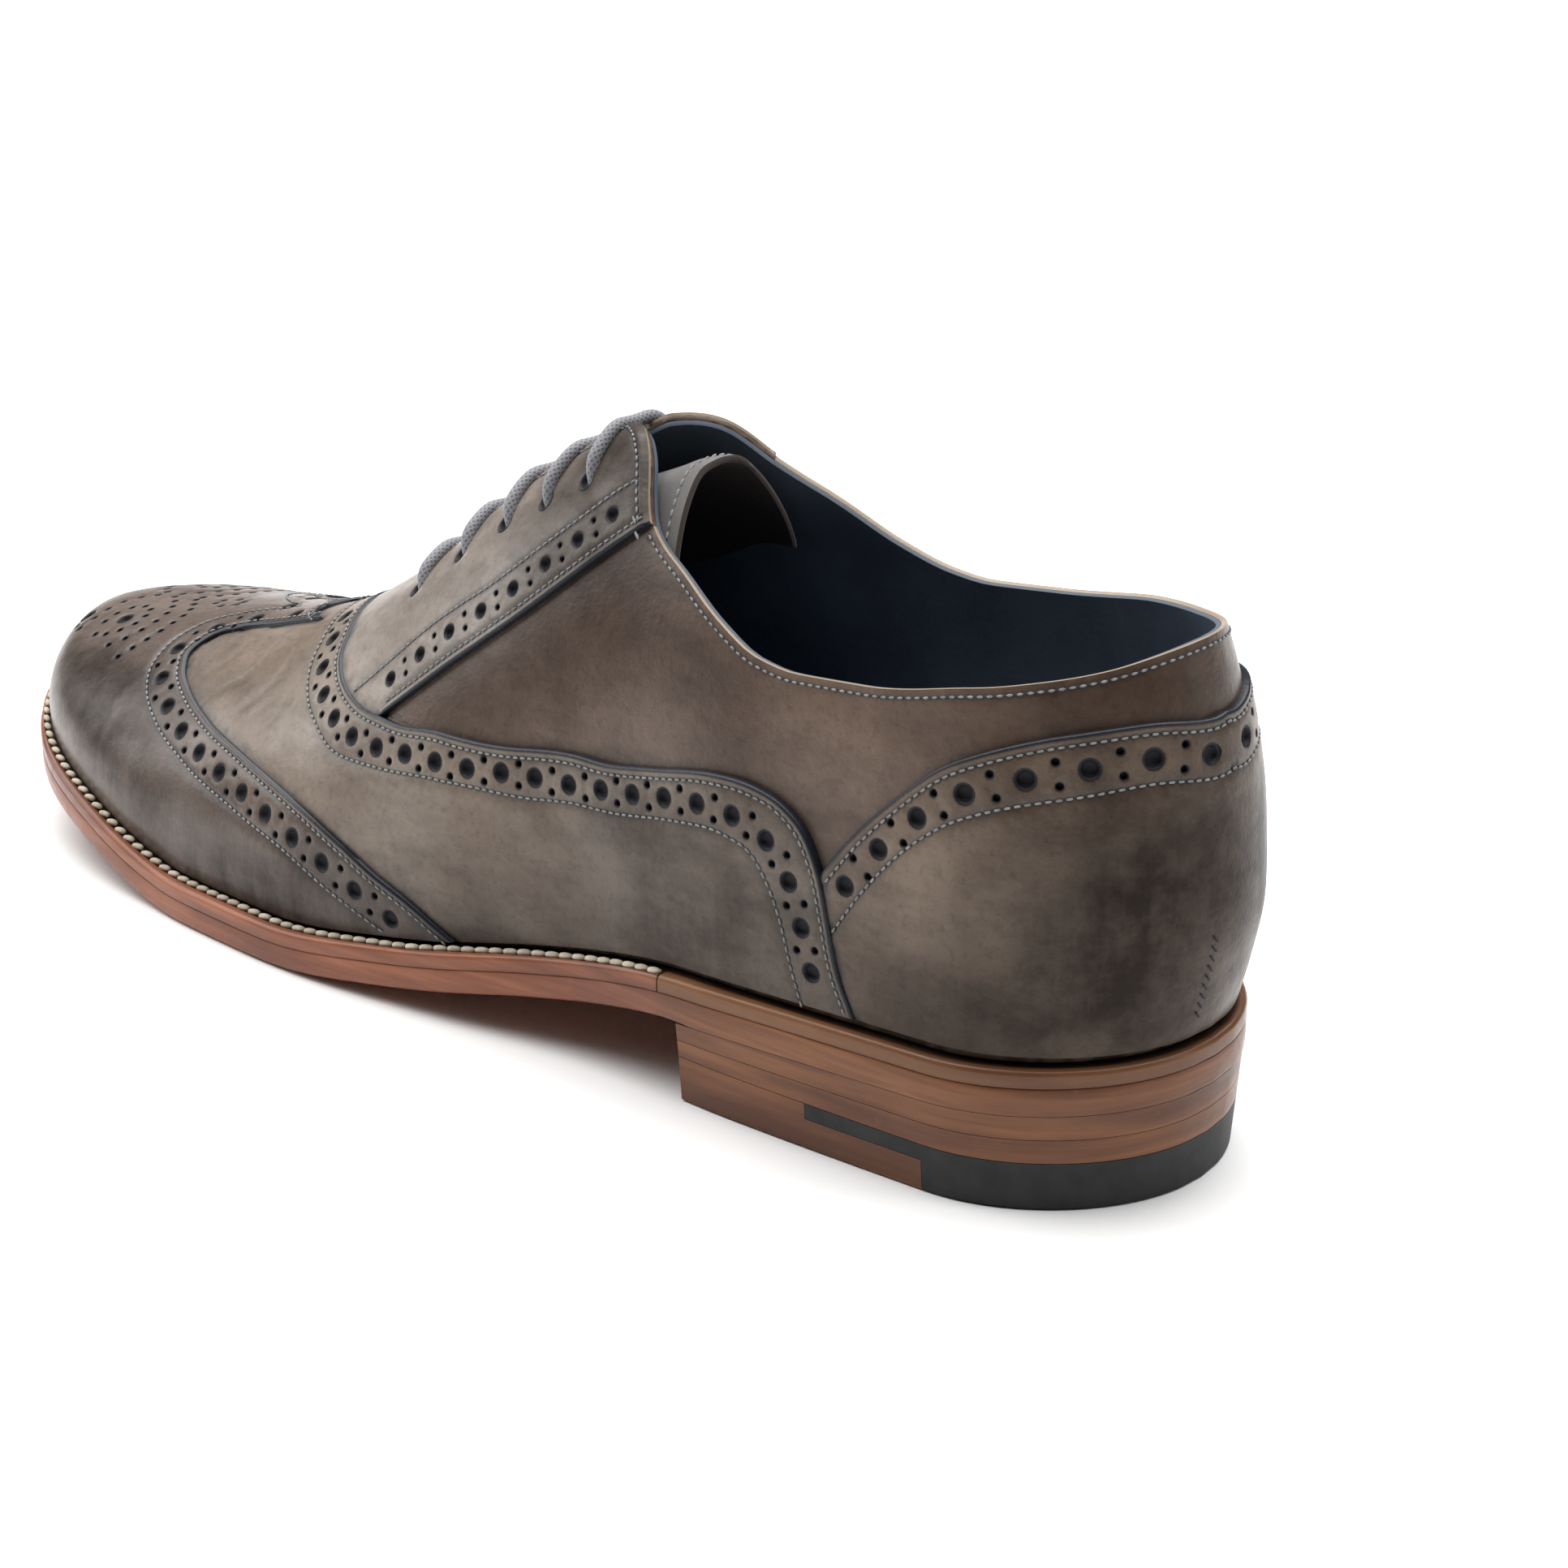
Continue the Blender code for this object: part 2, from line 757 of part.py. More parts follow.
def heel_margin(z):
    """Margin of the heel block at a height, drawn in towards the floor."""
    drawn = HEEL_INSET + HEEL_TAPER * (1.0 - z / TREAD[0].height)
    return sole_margin(drawn)


def build_sole():
    """Outsole, welt, heel rand and insole."""
    whole = stations_through(SOLE_STATIONS, (TREAD[4].station, TREAD[5].station), STATION_CLEAR)
    plate("outsole", SOLE_BROWN, whole, (
        (sole_margin(EDGE_ROUND), over_tread(0.0)),
        (sole_margin(0.0), over_tread(EDGE_ROUND)),
        (sole_margin(0.0), over_tread(SOLE_THICK - EDGE_ROUND / 2.0)),
        (sole_margin(EDGE_ROUND / 2.0), over_tread(SOLE_THICK)),
    ))
    low = over_tread(SOLE_THICK + GAP)
    front = stations_between(RAND_END + GAP, FEATHER_LENGTH, STATIONS)
    strip("welt", WELT_BROWN, front, WELT_INNER, low, feather_z)
    rear = stations_between(0.0, RAND_END, STATIONS)[::-1]
    strip("heel_rand", RAND_TAN, rear, WELT_INNER, low, feather_z)
    shelf = over_tread(SOLE_THICK + WELT_THICK + GAP)
    plate("insole", INSOLE_TAN, spread_stations(INSOLE_STATIONS), (
        (feather_margin(INSOLE_PLUG), low),
        (feather_margin(INSOLE_PLUG), shelf),
        (feather_margin(INSOLE_MARGIN), shelf),
        (feather_margin(INSOLE_MARGIN), over_tread(SOLE_THICK + WELT_THICK + INSOLE_THICK)),
    ))


def cutter(name, x_low, x_high, z_low, z_high):
    """Wide block used to cut the top piece."""
    size = (x_high - x_low, CUTTER_WIDTH, z_high - z_low)
    centre = ((x_low + x_high) / 2.0, 0.0, (z_low + z_high) / 2.0)
    bm = bmesh.new()
    bmesh.ops.create_cube(bm, size=1.0)
    for vert in bm.verts:
        vert.co = [(v * d + c) * MM for v, d, c in zip(vert.co, size, centre)]
    mesh = bpy.data.meshes.new(name)
    bm.to_mesh(mesh)
    bm.free()
    obj = bpy.data.objects.new(name, mesh)
    bpy.data.collections[CUTTERS].objects.link(obj)
    obj.hide_render = True
    obj.display_type = "WIRE"
    return obj


def cut(obj, tool):
    """Take a block away from a piece."""
    modifier = obj.modifiers.new(tool.name, "BOOLEAN")
    modifier.operation = "DIFFERENCE"
    modifier.object = tool


def build_heel():
    """Two lifts, a leather top piece and the rubber tip half-lapped over it."""
    rows = stations_between(0.0, HEEL_BREAST, STATIONS)
    top = TREAD[0].height
    middle = (TOP_PIECE_THICK + top) / 2.0
    plate("heel_lift_upper", WELT_BROWN, rows, (
        (heel_margin(middle), lift_seam(GAP / 2.0)),
        (heel_margin(top), over_tread(-GAP)),
    ), BREAST_BOW)
    plate("heel_lift_lower", SOLE_BROWN, rows, (
        (heel_margin(TOP_PIECE_THICK), level(TOP_PIECE_THICK + GAP)),
        (heel_margin(middle), lift_seam(-GAP / 2.0)),
    ), BREAST_BOW)
    tip_levels = (
        (heel_margin(0.0), level(0.0)),
        (heel_margin(TOP_PIECE_THICK), level(TOP_PIECE_THICK)),
    )
    leather = plate("top_piece", SOLE_BROWN, rows, tip_levels, BREAST_BOW)
    rubber = plate("heel_tip", RUBBER_GREY, rows, tip_levels, BREAST_BOW)
    tip_x = HEEL_X - RUBBER_FRONT
    lap_x = HEEL_X - RUBBER_LAP_FRONT
    far = 2.0 * FEATHER_LENGTH
    high = 2.0 * TOP_PIECE_THICK
    cut(leather, cutter("tip_seat", tip_x - GAP, far, -high, high))
    cut(leather, cutter("lap_seat", lap_x - GAP, far, RUBBER_LAP_Z - GAP, high))
    cut(rubber, cutter("tip_front", -far, tip_x, -high, RUBBER_LAP_Z))
    cut(rubber, cutter("lap_front", -far, lap_x, -high, high))


def build_lace(number, station):
    """One straight bar of lace over the facings, as a bevelled curve."""
    height = PANEL_GAP + STAY_THICK + GAP + LACE_RADIUS + GAP
    lateral = np.linspace(LACE_FOOT_T, 1.0, LACE_STEPS + 1)
    path = []
    for side, run in ((LATERAL, lateral), (MEDIAL, lateral[::-1][1:])):
        row = np.full_like(run, station)
        points = form(row, run, side) + form_normal(row, run, side) * height
        points[run == 1.0, 1] = ridge_line(station)
        path.extend(points)
    curve = bpy.data.curves.new(f"lace_path_{number}", "CURVE")
    curve.dimensions = "3D"
    curve.bevel_depth = LACE_RADIUS * MM
    curve.bevel_resolution = 1
    curve.use_fill_caps = True
    spline = curve.splines.new("POLY")
    spline.points.add(len(path) - 1)
    for point, place in zip(spline.points, path):
        point.co = (*(float(v) * MM for v in place), 1.0)
    source = bpy.data.objects.new(f"lace_source_{number}", curve)
    bpy.context.scene.collection.objects.link(source)
    bpy.context.view_layer.update()
    evaluated = source.evaluated_get(bpy.context.evaluated_depsgraph_get())
    mesh = bpy.data.meshes.new_from_object(evaluated)
    bpy.data.objects.remove(source)
    obj = bpy.data.objects.new(f"lace_bar_{number}", mesh)
    finish(obj, LACE_GREY, 0.7)
    bm = bmesh.new()
    bm.from_mesh(mesh)
    bmesh.ops.remove_doubles(bm, verts=bm.verts, dist=0.01 * MM)
    bmesh.ops.recalc_face_normals(bm, faces=bm.faces)
    bm.to_mesh(mesh)
    bm.free()


def main():
    """Clear the scene and build every piece."""
    for obj in list(bpy.data.objects):
        bpy.data.objects.remove(obj)
    for name in (COLLECTION, CUTTERS):
        bpy.context.scene.collection.children.link(bpy.data.collections.new(name))
    build_sole()
    build_heel()
    build_upper()
    build_toe_cap()
    build_vamp()
    build_counter()
    build_eyestay("eyestay_lateral", LATERAL)
    build_eyestay("eyestay_medial", MEDIAL)
    build_tongue()
    for number, station in enumerate(LACE_STATIONS, start=1):
        build_lace(number, station)


main()
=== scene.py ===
"""Looks of a left full brogue: shaped panels, punched patterns, stitching, welted sole and lacing.

Lengths are millimetres until a mesh is made. The toe points to -X and the inner side of the foot to +Y.
A place on the upper is a pair: station from the heel, and height from 0 at the welt to 1 on the ridge.
"""
import logging
import math
from dataclasses import dataclass, field
from enum import Enum
from functools import cached_property
from typing import Callable, NamedTuple, Sequence

import bmesh
import bpy
import numpy as np
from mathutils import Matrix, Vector
from mathutils.geometry import delaunay_2d_cdt
from mathutils.kdtree import KDTree


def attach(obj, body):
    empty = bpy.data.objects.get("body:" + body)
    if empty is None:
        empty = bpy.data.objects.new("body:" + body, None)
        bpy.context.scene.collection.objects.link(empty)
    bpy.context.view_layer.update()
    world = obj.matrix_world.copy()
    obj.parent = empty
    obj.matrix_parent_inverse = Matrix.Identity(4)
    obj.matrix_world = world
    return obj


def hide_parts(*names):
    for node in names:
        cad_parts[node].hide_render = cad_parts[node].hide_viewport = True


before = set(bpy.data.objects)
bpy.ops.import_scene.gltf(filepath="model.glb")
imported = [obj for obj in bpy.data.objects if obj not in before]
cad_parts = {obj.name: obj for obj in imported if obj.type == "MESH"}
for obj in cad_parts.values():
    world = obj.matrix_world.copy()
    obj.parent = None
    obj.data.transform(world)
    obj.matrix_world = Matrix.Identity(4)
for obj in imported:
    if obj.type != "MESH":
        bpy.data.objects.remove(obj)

MM = 0.001
BODY = "root"
LOG = logging.getLogger("brogue")
Array = np.ndarray
Colour = tuple[float, float, float]
Place = tuple[float, float]
Rule = Callable[[Array], Array]
Piece = bpy.types.Object
Material = bpy.types.Material
Socket = bpy.types.NodeSocket


class Side(Enum):
    """Outer or inner side of the foot, as the sign of its sideways direction."""

    LATERAL = -1
    MEDIAL = 1


BOTH = (Side.LATERAL, Side.MEDIAL)


def cubic(values: Array, slope: Array, i: Array, span: Array, f: Array) -> Array:
    """Cubic from knot to knot with given slopes.

    Args:
        values: Knot values.
        slope: Slopes at the knots.
        i: Knot that each place comes after.
        span: Distance from that knot to the next.
        f: Share of the way to the next knot.

    Returns:
        Values at the places.
    """
    start = values[i] * (1.0 + 2.0 * f) * (1.0 - f) ** 2 + span * slope[i] * f * (1.0 - f) ** 2
    end = values[i + 1] * f * f * (3.0 - 2.0 * f) + span * slope[i + 1] * f * f * (f - 1.0)
    return start + end


def smooth_curve(xs: Array, ys: Array, at: Array) -> Array:
    """Monotone cubic through knots, held flat outside them.

    Args:
        xs: Rising knot places.
        ys: Knot values.
        at: Places to read.

    Returns:
        Values at the places.
    """
    at = np.clip(np.asarray(at, dtype=float), xs[0], xs[-1])
    step = np.diff(xs)
    rise = np.diff(ys) / step
    slope = np.zeros_like(ys)
    weight_a = 2.0 * step[1:] + step[:-1]
    weight_b = step[1:] + 2.0 * step[:-1]
    same = rise[:-1] * rise[1:] > 0.0
    low = np.where(same, weight_a * rise[1:] + weight_b * rise[:-1], 1.0)
    slope[1:-1] = np.where(same, (weight_a + weight_b) * rise[:-1] * rise[1:] / low, 0.0)
    slope[0] = rise[0]
    slope[-1] = rise[-1]
    i = np.clip(np.searchsorted(xs, at) - 1, 0, len(step) - 1)
    return cubic(ys, slope, i, step[i], (at - xs[i]) / step[i])


def fair_line(knots: Array, count: int) -> Array:
    """Smooth line through knots in a plane.

    Args:
        knots: Knot places, one row each.
        count: Number of points wanted.

    Returns:
        Points along the line.
    """
    run = run_along(knots)
    slope = np.gradient(knots, run, axis=0) if len(knots) > 2 else np.diff(knots, axis=0)[[0, 0]] / run[-1]
    at = np.linspace(0.0, run[-1], count)
    i = np.clip(np.searchsorted(run, at) - 1, 0, len(run) - 2)
    span = (run[i + 1] - run[i])[:, None]
    return cubic(knots, slope, i, span, (at - run[i])[:, None] / span)


def ramp(value: Array, low: float, high: float) -> Array:
    """Soft step from 0 at the low value to 1 at the high one."""
    f = np.clip((np.asarray(value, dtype=float) - low) / (high - low), 0.0, 1.0)
    return f * f * (3.0 - 2.0 * f)


def paired(first: Array, second: Array) -> tuple[Array, Array]:
    """Two inputs as arrays of one shape."""
    return np.broadcast_arrays(np.asarray(first, dtype=float), np.asarray(second, dtype=float))


def unit(vectors: Array) -> Array:
    """The same directions, each of length 1."""
    return vectors / np.linalg.norm(vectors, axis=-1, keepdims=True)


def run_along(points: Array) -> Array:
    """Distance of each point from the first, measured along the line."""
    return np.concatenate([[0.0], np.cumsum(np.linalg.norm(np.diff(points, axis=0), axis=1))])


def bell(distance: Array, width: float) -> Array:
    """Soft bell of height 1 where the distance is nothing."""
    return np.exp(-(distance / width) ** 2)


class Section(NamedTuple):
    """Cross-section of the last at one station from the heel."""

    station: float
    axis: float
    lateral: float
    medial: float
    ridge: float
    wall: float
    crown: float
    lean: float


class Knot(NamedTuple):
    """One place of a profile: how far along, and its value there."""

    along: float
    value: float


class Collar(NamedTuple):
    """Top edge of the upper at one station, on either side."""

    station: float
    lateral: float
    medial: float


@dataclass(frozen=True)
class Last:
    """The foot-shaped form that every piece of the shoe is drawn on."""

    length: float = 288.0
    heel_x: float = 143.95
    axis_y: float = -4.2
    sole: float = 5.0
    welt: float = 3.2
    seat: float = 0.3
    toe_round: float = 64.0
    toe_power: float = 2.15
    heel_round: float = 33.0
    heel_power: float = 2.0
    toe_wall: float = 8.5
    crown_round: float = 59.0
    back_reach: float = 90.0
    lean_fade: float = 3.0
    sections: tuple[Section, ...] = (
        Section(0.0, 0.0, 29.5, 29.5, 112.0, 0.55, 0.75, 4.0),
        Section(35.0, 0.0, 32.5, 30.0, 118.0, 0.55, 0.75, 4.0),
        Section(75.0, 0.0, 34.0, 28.0, 117.5, 0.51, 0.68, 4.8),
        Section(110.0, 0.0, 32.5, 26.0, 114.0, 0.44, 0.57, 5.8),
        Section(145.0, 0.0, 37.0, 29.0, 96.0, 0.42, 0.45, 7.0),
        Section(180.0, 0.0, 40.0, 38.0, 68.5, 0.42, 0.42, 7.0),
        Section(205.0, 0.5, 39.5, 45.0, 54.5, 0.45, 0.45, 6.0),
        Section(230.0, 2.5, 39.0, 46.0, 47.0, 0.5, 0.5, 5.0),
        Section(255.0, 4.5, 39.5, 43.5, 43.5, 0.6, 0.55, 4.0),
        Section(288.0, 5.5, 40.5, 40.5, 44.0, 0.65, 0.6, 3.0),
    )
    tread_line: tuple[Knot, ...] = (
        Knot(-4.0, 18.6), Knot(85.0, 15.8), Knot(120.0, 9.8), Knot(155.0, 3.3),
        Knot(186.0, 0.0), Knot(212.0, 0.0), Knot(250.0, 7.5), Knot(296.0, 17.8),
    )
    back_line: tuple[Knot, ...] = (
        Knot(0.0, 2.6), Knot(10.0, 0.0), Knot(22.0, -2.0), Knot(36.0, -1.4),
        Knot(50.0, 0.6), Knot(64.0, 3.9), Knot(90.0, 12.0),
    )
    edge_line: tuple[Knot, ...] = (
        Knot(0.0, 3.1), Knot(60.0, 3.3), Knot(95.0, 4.1), Knot(140.0, 5.2),
        Knot(200.0, 6.2), Knot(258.0, 5.6), Knot(288.0, 3.2),
    )

    def read(self, name: str, station: Array) -> Array:
        """One column of the section table at stations."""
        xs = np.array([row.station for row in self.sections])
        return smooth_curve(xs, np.array([getattr(row, name) for row in self.sections]), station)

    @staticmethod
    def profile(knots: Sequence[Knot], at: Array) -> Array:
        """Value of a profile at places along it."""
        return smooth_curve(np.array([k.along for k in knots]), np.array([k.value for k in knots]), at)

    def tread(self, x: Array) -> Array:
        """Underside of the outsole above the floor."""
        return self.profile(self.tread_line, self.heel_x - np.asarray(x, dtype=float))

    def feather(self, x: Array) -> Array:
        """Top of the welt, where the upper begins."""
        return self.tread(x) + self.sole + self.welt

    def ridge_y(self, station: Array) -> Array:
        """Sideways place of the ridge."""
        return self.axis_y + self.read("axis", station)

    @staticmethod
    def fall(distance: Array, length: float, power: float) -> Array:
        """Superellipse fall-off to zero at the end of the shoe."""
        q = np.clip(1.0 - distance / length, 0.0, 1.0)
        return (1.0 - q ** power) ** (1.0 / power)

    def point(self, station: Array, height: Array, side: Side) -> Array:
        """Points on the form.

        Args:
            station: Distances from the heel.
            height: Heights from 0 at the welt to 1 on the ridge.
            side: Side of the foot.

        Returns:
            Points, with their three coordinates last.
        """
        s, t = paired(station, height)
        to_toe = self.length - s
        heel = self.fall(s, self.heel_round, self.heel_power)
        plan = heel * self.fall(to_toe, self.toe_round, self.toe_power)
        half = self.read(side.name.lower(), s) * plan
        reach = np.clip(1.0 - s / self.back_reach, 0.0, 1.0) ** 2
        low = self.feather(self.heel_x - s - self.back_line[0].value * reach)
        crown_round = self.fall(to_toe, self.crown_round, self.toe_power)
        top = low + self.toe_wall + (self.read("ridge", s) - low - self.toe_wall) * crown_round
        lean = self.read("lean", s) * np.minimum(1.0, self.lean_fade * plan) * plan
        wall_z = low + (top - low) * self.read("wall", s)
        a = (1.0 - t) ** 3
        b = 3.0 * t * (1.0 - t) ** 2
        c = 3.0 * t * t * (1.0 - t)
        y = self.ridge_y(s) + side.value * (a * half + b * (half + lean) + c * half * self.read("crown", s))
        z = a * low + b * wall_z + (c + t ** 3) * top
        shift = self.profile(self.back_line, z - self.feather(self.heel_x))
        return np.stack([self.heel_x - s - shift * reach, y, z + self.seat], axis=-1)

    def slopes(self, station: Array, height: Array, side: Side) -> tuple[Array, Array]:
        """How the form runs towards the toe and towards the ridge, per unit of station and height.

        Args:
            station: Distances from the heel.
            height: Heights on the form.
            side: Side of the foot.

        Returns:
            The runs towards the toe and towards the ridge.
        """
        step_s = 0.15
        step_t = 0.004
        s, t = paired(station, height)
        s = np.clip(s, 2.0 * step_s, self.length - 2.0 * step_s)
        t = np.clip(t, step_t, 1.0 - step_t)
        along = self.point(s + step_s, t, side) - self.point(s - step_s, t, side)
        across = self.point(s, t + step_t, side) - self.point(s, t - step_t, side)
        return along / (2.0 * step_s), across / (2.0 * step_t)

    def normal(self, station: Array, height: Array, side: Side) -> Array:
        """Outward unit normals, kept in the middle plane at the back, ridge and toe.

        Args:
            station: Distances from the heel.
            height: Heights on the form.
            side: Side of the foot.

        Returns:
            Unit normals.
        """
        s, t = paired(station, height)
        along, across = self.slopes(s, t, side)
        normal = np.cross(along, across) * side.value
        middle = (s < 1e-6) | (s > self.length - 1e-6) | (t > 1.0 - 1e-6)
        normal[..., 1] = np.where(middle, 0.0, normal[..., 1])
        return unit(normal)

    def over(self, station: Array, height: Array, side: Side, rise: Array) -> Array:
        """Points standing off the form along its normals."""
        rise = np.asarray(rise, dtype=float)[..., None]
        return self.point(station, height, side) + self.normal(station, height, side) * rise

    def crowded(self, count: int) -> Array:
        """Stations from heel to toe, closer together near both ends."""
        return self.length * (1.0 - np.cos(np.linspace(0.0, math.pi, count))) / 2.0

    @property
    def half_length(self) -> float:
        """Half the length of the form."""
        return self.length / 2.0

    @cached_property
    def girths(self) -> tuple[Array, Array]:
        """Stations, and the mean distance from welt to ridge at each.

        Returns:
            The stations and the distances.
        """
        stations = self.crowded(241)
        heights = np.linspace(0.0, 1.0, 61)
        total = np.zeros_like(stations)
        for side in BOTH:
            points = self.point(stations[:, None], heights[None, :], side)
            total += np.linalg.norm(np.diff(points, axis=1), axis=-1).sum(axis=1) / 2.0
        return stations, total

    def chart(self, places: Array) -> Array:
        """Flat map, in millimetres, of places on half the upper."""
        run = self.half_length * np.arccos(np.clip(1.0 - places[:, 0] / self.half_length, -1.0, 1.0))
        return np.column_stack([run, (1.0 - places[:, 1]) * np.interp(places[:, 0], *self.girths)])

    def unchart(self, flat: Array) -> Array:
        """Places on half the upper for points of the flat map."""
        station = self.half_length * (1.0 - np.cos(np.clip(flat[:, 0] / self.half_length, 0.0, math.pi)))
        return np.column_stack([station, 1.0 - flat[:, 1] / np.interp(station, *self.girths)])

    def line(self, knots: Sequence[Place], step: float = 0.8) -> Array:
        """Evenly spaced places along a smooth line over the upper.

        Args:
            knots: Places that the line runs through.
            step: Spacing of the result.

        Returns:
            Places, one row each, ends included.
        """
        flat = fair_line(self.chart(np.array(knots, dtype=float)), 30 * len(knots))
        return self.evened(self.unchart(flat), step)

    def evened(self, places: Array, step: float) -> Array:
        """The same line with even spacing on the form.

        Args:
            places: Places along the line.
            step: Spacing wanted.

        Returns:
            Evenly spaced places.
        """
        points = self.point(places[:, 0], places[:, 1], Side.LATERAL)
        run = run_along(points)
        at = np.linspace(0.0, run[-1], max(2, round(run[-1] / step) + 1))
        return np.column_stack([np.interp(at, run, places[:, k]) for k in range(2)])

    def shifted(self, places: Array, distance: Array) -> Array:
        """Line moved over the form, to its left as seen from outside the lateral side.

        Args:
            places: Places along the line.
            distance: How far to move, one value or one for each place.

        Returns:
            The moved places.
        """
        s, t = places.T
        run = np.gradient(self.point(s, t, Side.LATERAL), axis=0)
        run /= np.linalg.norm(run, axis=1, keepdims=True) + 1e-12
        aside = np.cross(self.normal(s, t, Side.LATERAL), run) * np.broadcast_to(distance, s.shape)[:, None]
        return places + self.steps(places, aside)

    def steps(self, places: Array, move: Array) -> Array:
        """Changes of station and height that make small moves over the lateral side.

        Args:
            places: Places on the upper.
            move: Moves in space.

        Returns:
            The changes, one row for each place.
        """
        along, across = self.slopes(places[:, 0], places[:, 1], Side.LATERAL)
        aa = (along * along).sum(1)
        ab = (along * across).sum(1)
        bb = (across * across).sum(1)
        ma = (along * move).sum(1)
        mb = (across * move).sum(1)
        det = aa * bb - ab * ab
        return np.column_stack([(ma * bb - mb * ab) / det, (aa * mb - ab * ma) / det])

    def ring(self, place: Place, radius: float, count: int) -> Array:
        """Places round a circle lying on the form.

        Args:
            place: Middle of the circle.
            radius: Its radius.
            count: Number of places.

        Returns:
            Places round the circle.
        """
        spot = np.repeat(np.array([place], dtype=float), count, axis=0)
        along, _ = self.slopes(spot[:, 0], spot[:, 1], Side.LATERAL)
        first = unit(along)
        second = np.cross(self.normal(spot[:, 0], spot[:, 1], Side.LATERAL), first)
        angle = np.linspace(0.0, 2.0 * math.pi, count, endpoint=False)[:, None]
        return spot + self.steps(spot, radius * (np.cos(angle) * first + np.sin(angle) * second))

    def beside_ridge(self, station: Array, half: Array, side: Side) -> Array:
        """Heights where the form lies given distances from its ridge line.

        Args:
            station: Distances from the heel.
            half: Distances from the ridge line.
            side: Side of the foot.

        Returns:
            The heights.
        """
        station, half = paired(station, half)
        low = np.full(station.shape, 0.4)
        high = np.ones(station.shape)
        for _ in range(26):
            middle = (low + high) / 2.0
            outside = np.abs(self.point(station, middle, side)[..., 1] - self.ridge_y(station)) > half
            low = np.where(outside, middle, low)
            high = np.where(outside, high, middle)
        return (low + high) / 2.0

    def sole_outline(self, station: Array, side: Side, margin: Rule) -> Array:
        """Plan points of the feather line moved outwards by a margin.

        Args:
            station: Distances from the heel.
            side: Side of the foot.
            margin: How far out at each station.

        Returns:
            Plan points.
        """
        fine = self.crowded(721)
        line = self.point(fine, np.zeros_like(fine), side)[:, :2]
        tangent = np.gradient(line, axis=0)
        tangent[0] = (0.0, side.value)
        tangent[-1] = (0.0, -side.value)
        tangent = unit(tangent)
        outward = np.stack([-tangent[:, 1], tangent[:, 0]], axis=1) * -side.value
        moved = line + outward * np.asarray(margin(fine))[:, None]
        return np.stack([np.interp(station, fine, moved[:, k]) for k in range(2)], axis=1)

    def around(self, station: Array, margin: Rule) -> Array:
        """Plan path along the outer side, round the end and back along the inner side."""
        lateral, medial = (self.sole_outline(station, side, margin) for side in BOTH)
        return np.concatenate([lateral, medial[::-1][1:]])

    def edge_margin(self, inset: float) -> Rule:
        """Margin of the sole edge, drawn in by an inset."""
        return lambda s: self.profile(self.edge_line, s) - inset

    def spread(self, count: int, start: float = 0.0, end: float = 288.0) -> Array:
        """Stations crowded towards heel and toe, between two ends."""
        inside = self.crowded(count + 1)
        return np.concatenate([[start], inside[(inside > start + 0.4) & (inside < end - 0.4)], [end]])


LAST = Last()


class Wiring:
    """Adds nodes to one tree and links them."""

    def __init__(self, tree: bpy.types.NodeTree) -> None:
        """Work on a tree."""
        self.tree = tree

    def made(self, kind: str, output: str | int, inputs: dict[str | int, object],
             **settings: object) -> Socket:
        """Add a node, feed it and give one of its outputs.

        Args:
            kind: Type of the node.
            output: Output wanted.
            inputs: Sockets or values for its inputs.
            **settings: Properties of the node.

        Returns:
            The output.
        """
        node = self.tree.nodes.new(kind)
        for key, value in settings.items():
            setattr(node, key, value)
        for key, value in inputs.items():
            self.feed(node.inputs[key], value)
        return node.outputs[output]

    def feed(self, socket: Socket, value: object) -> None:
        """Link a socket to another one, or set its value.

        Args:
            socket: Input to feed.
            value: A socket, a colour or a number.
        """
        if isinstance(value, Socket):
            self.tree.links.new(value, socket)
        elif isinstance(value, tuple):
            socket.default_value = (*value, 1.0)[: len(socket.default_value)]
        else:
            socket.default_value = value


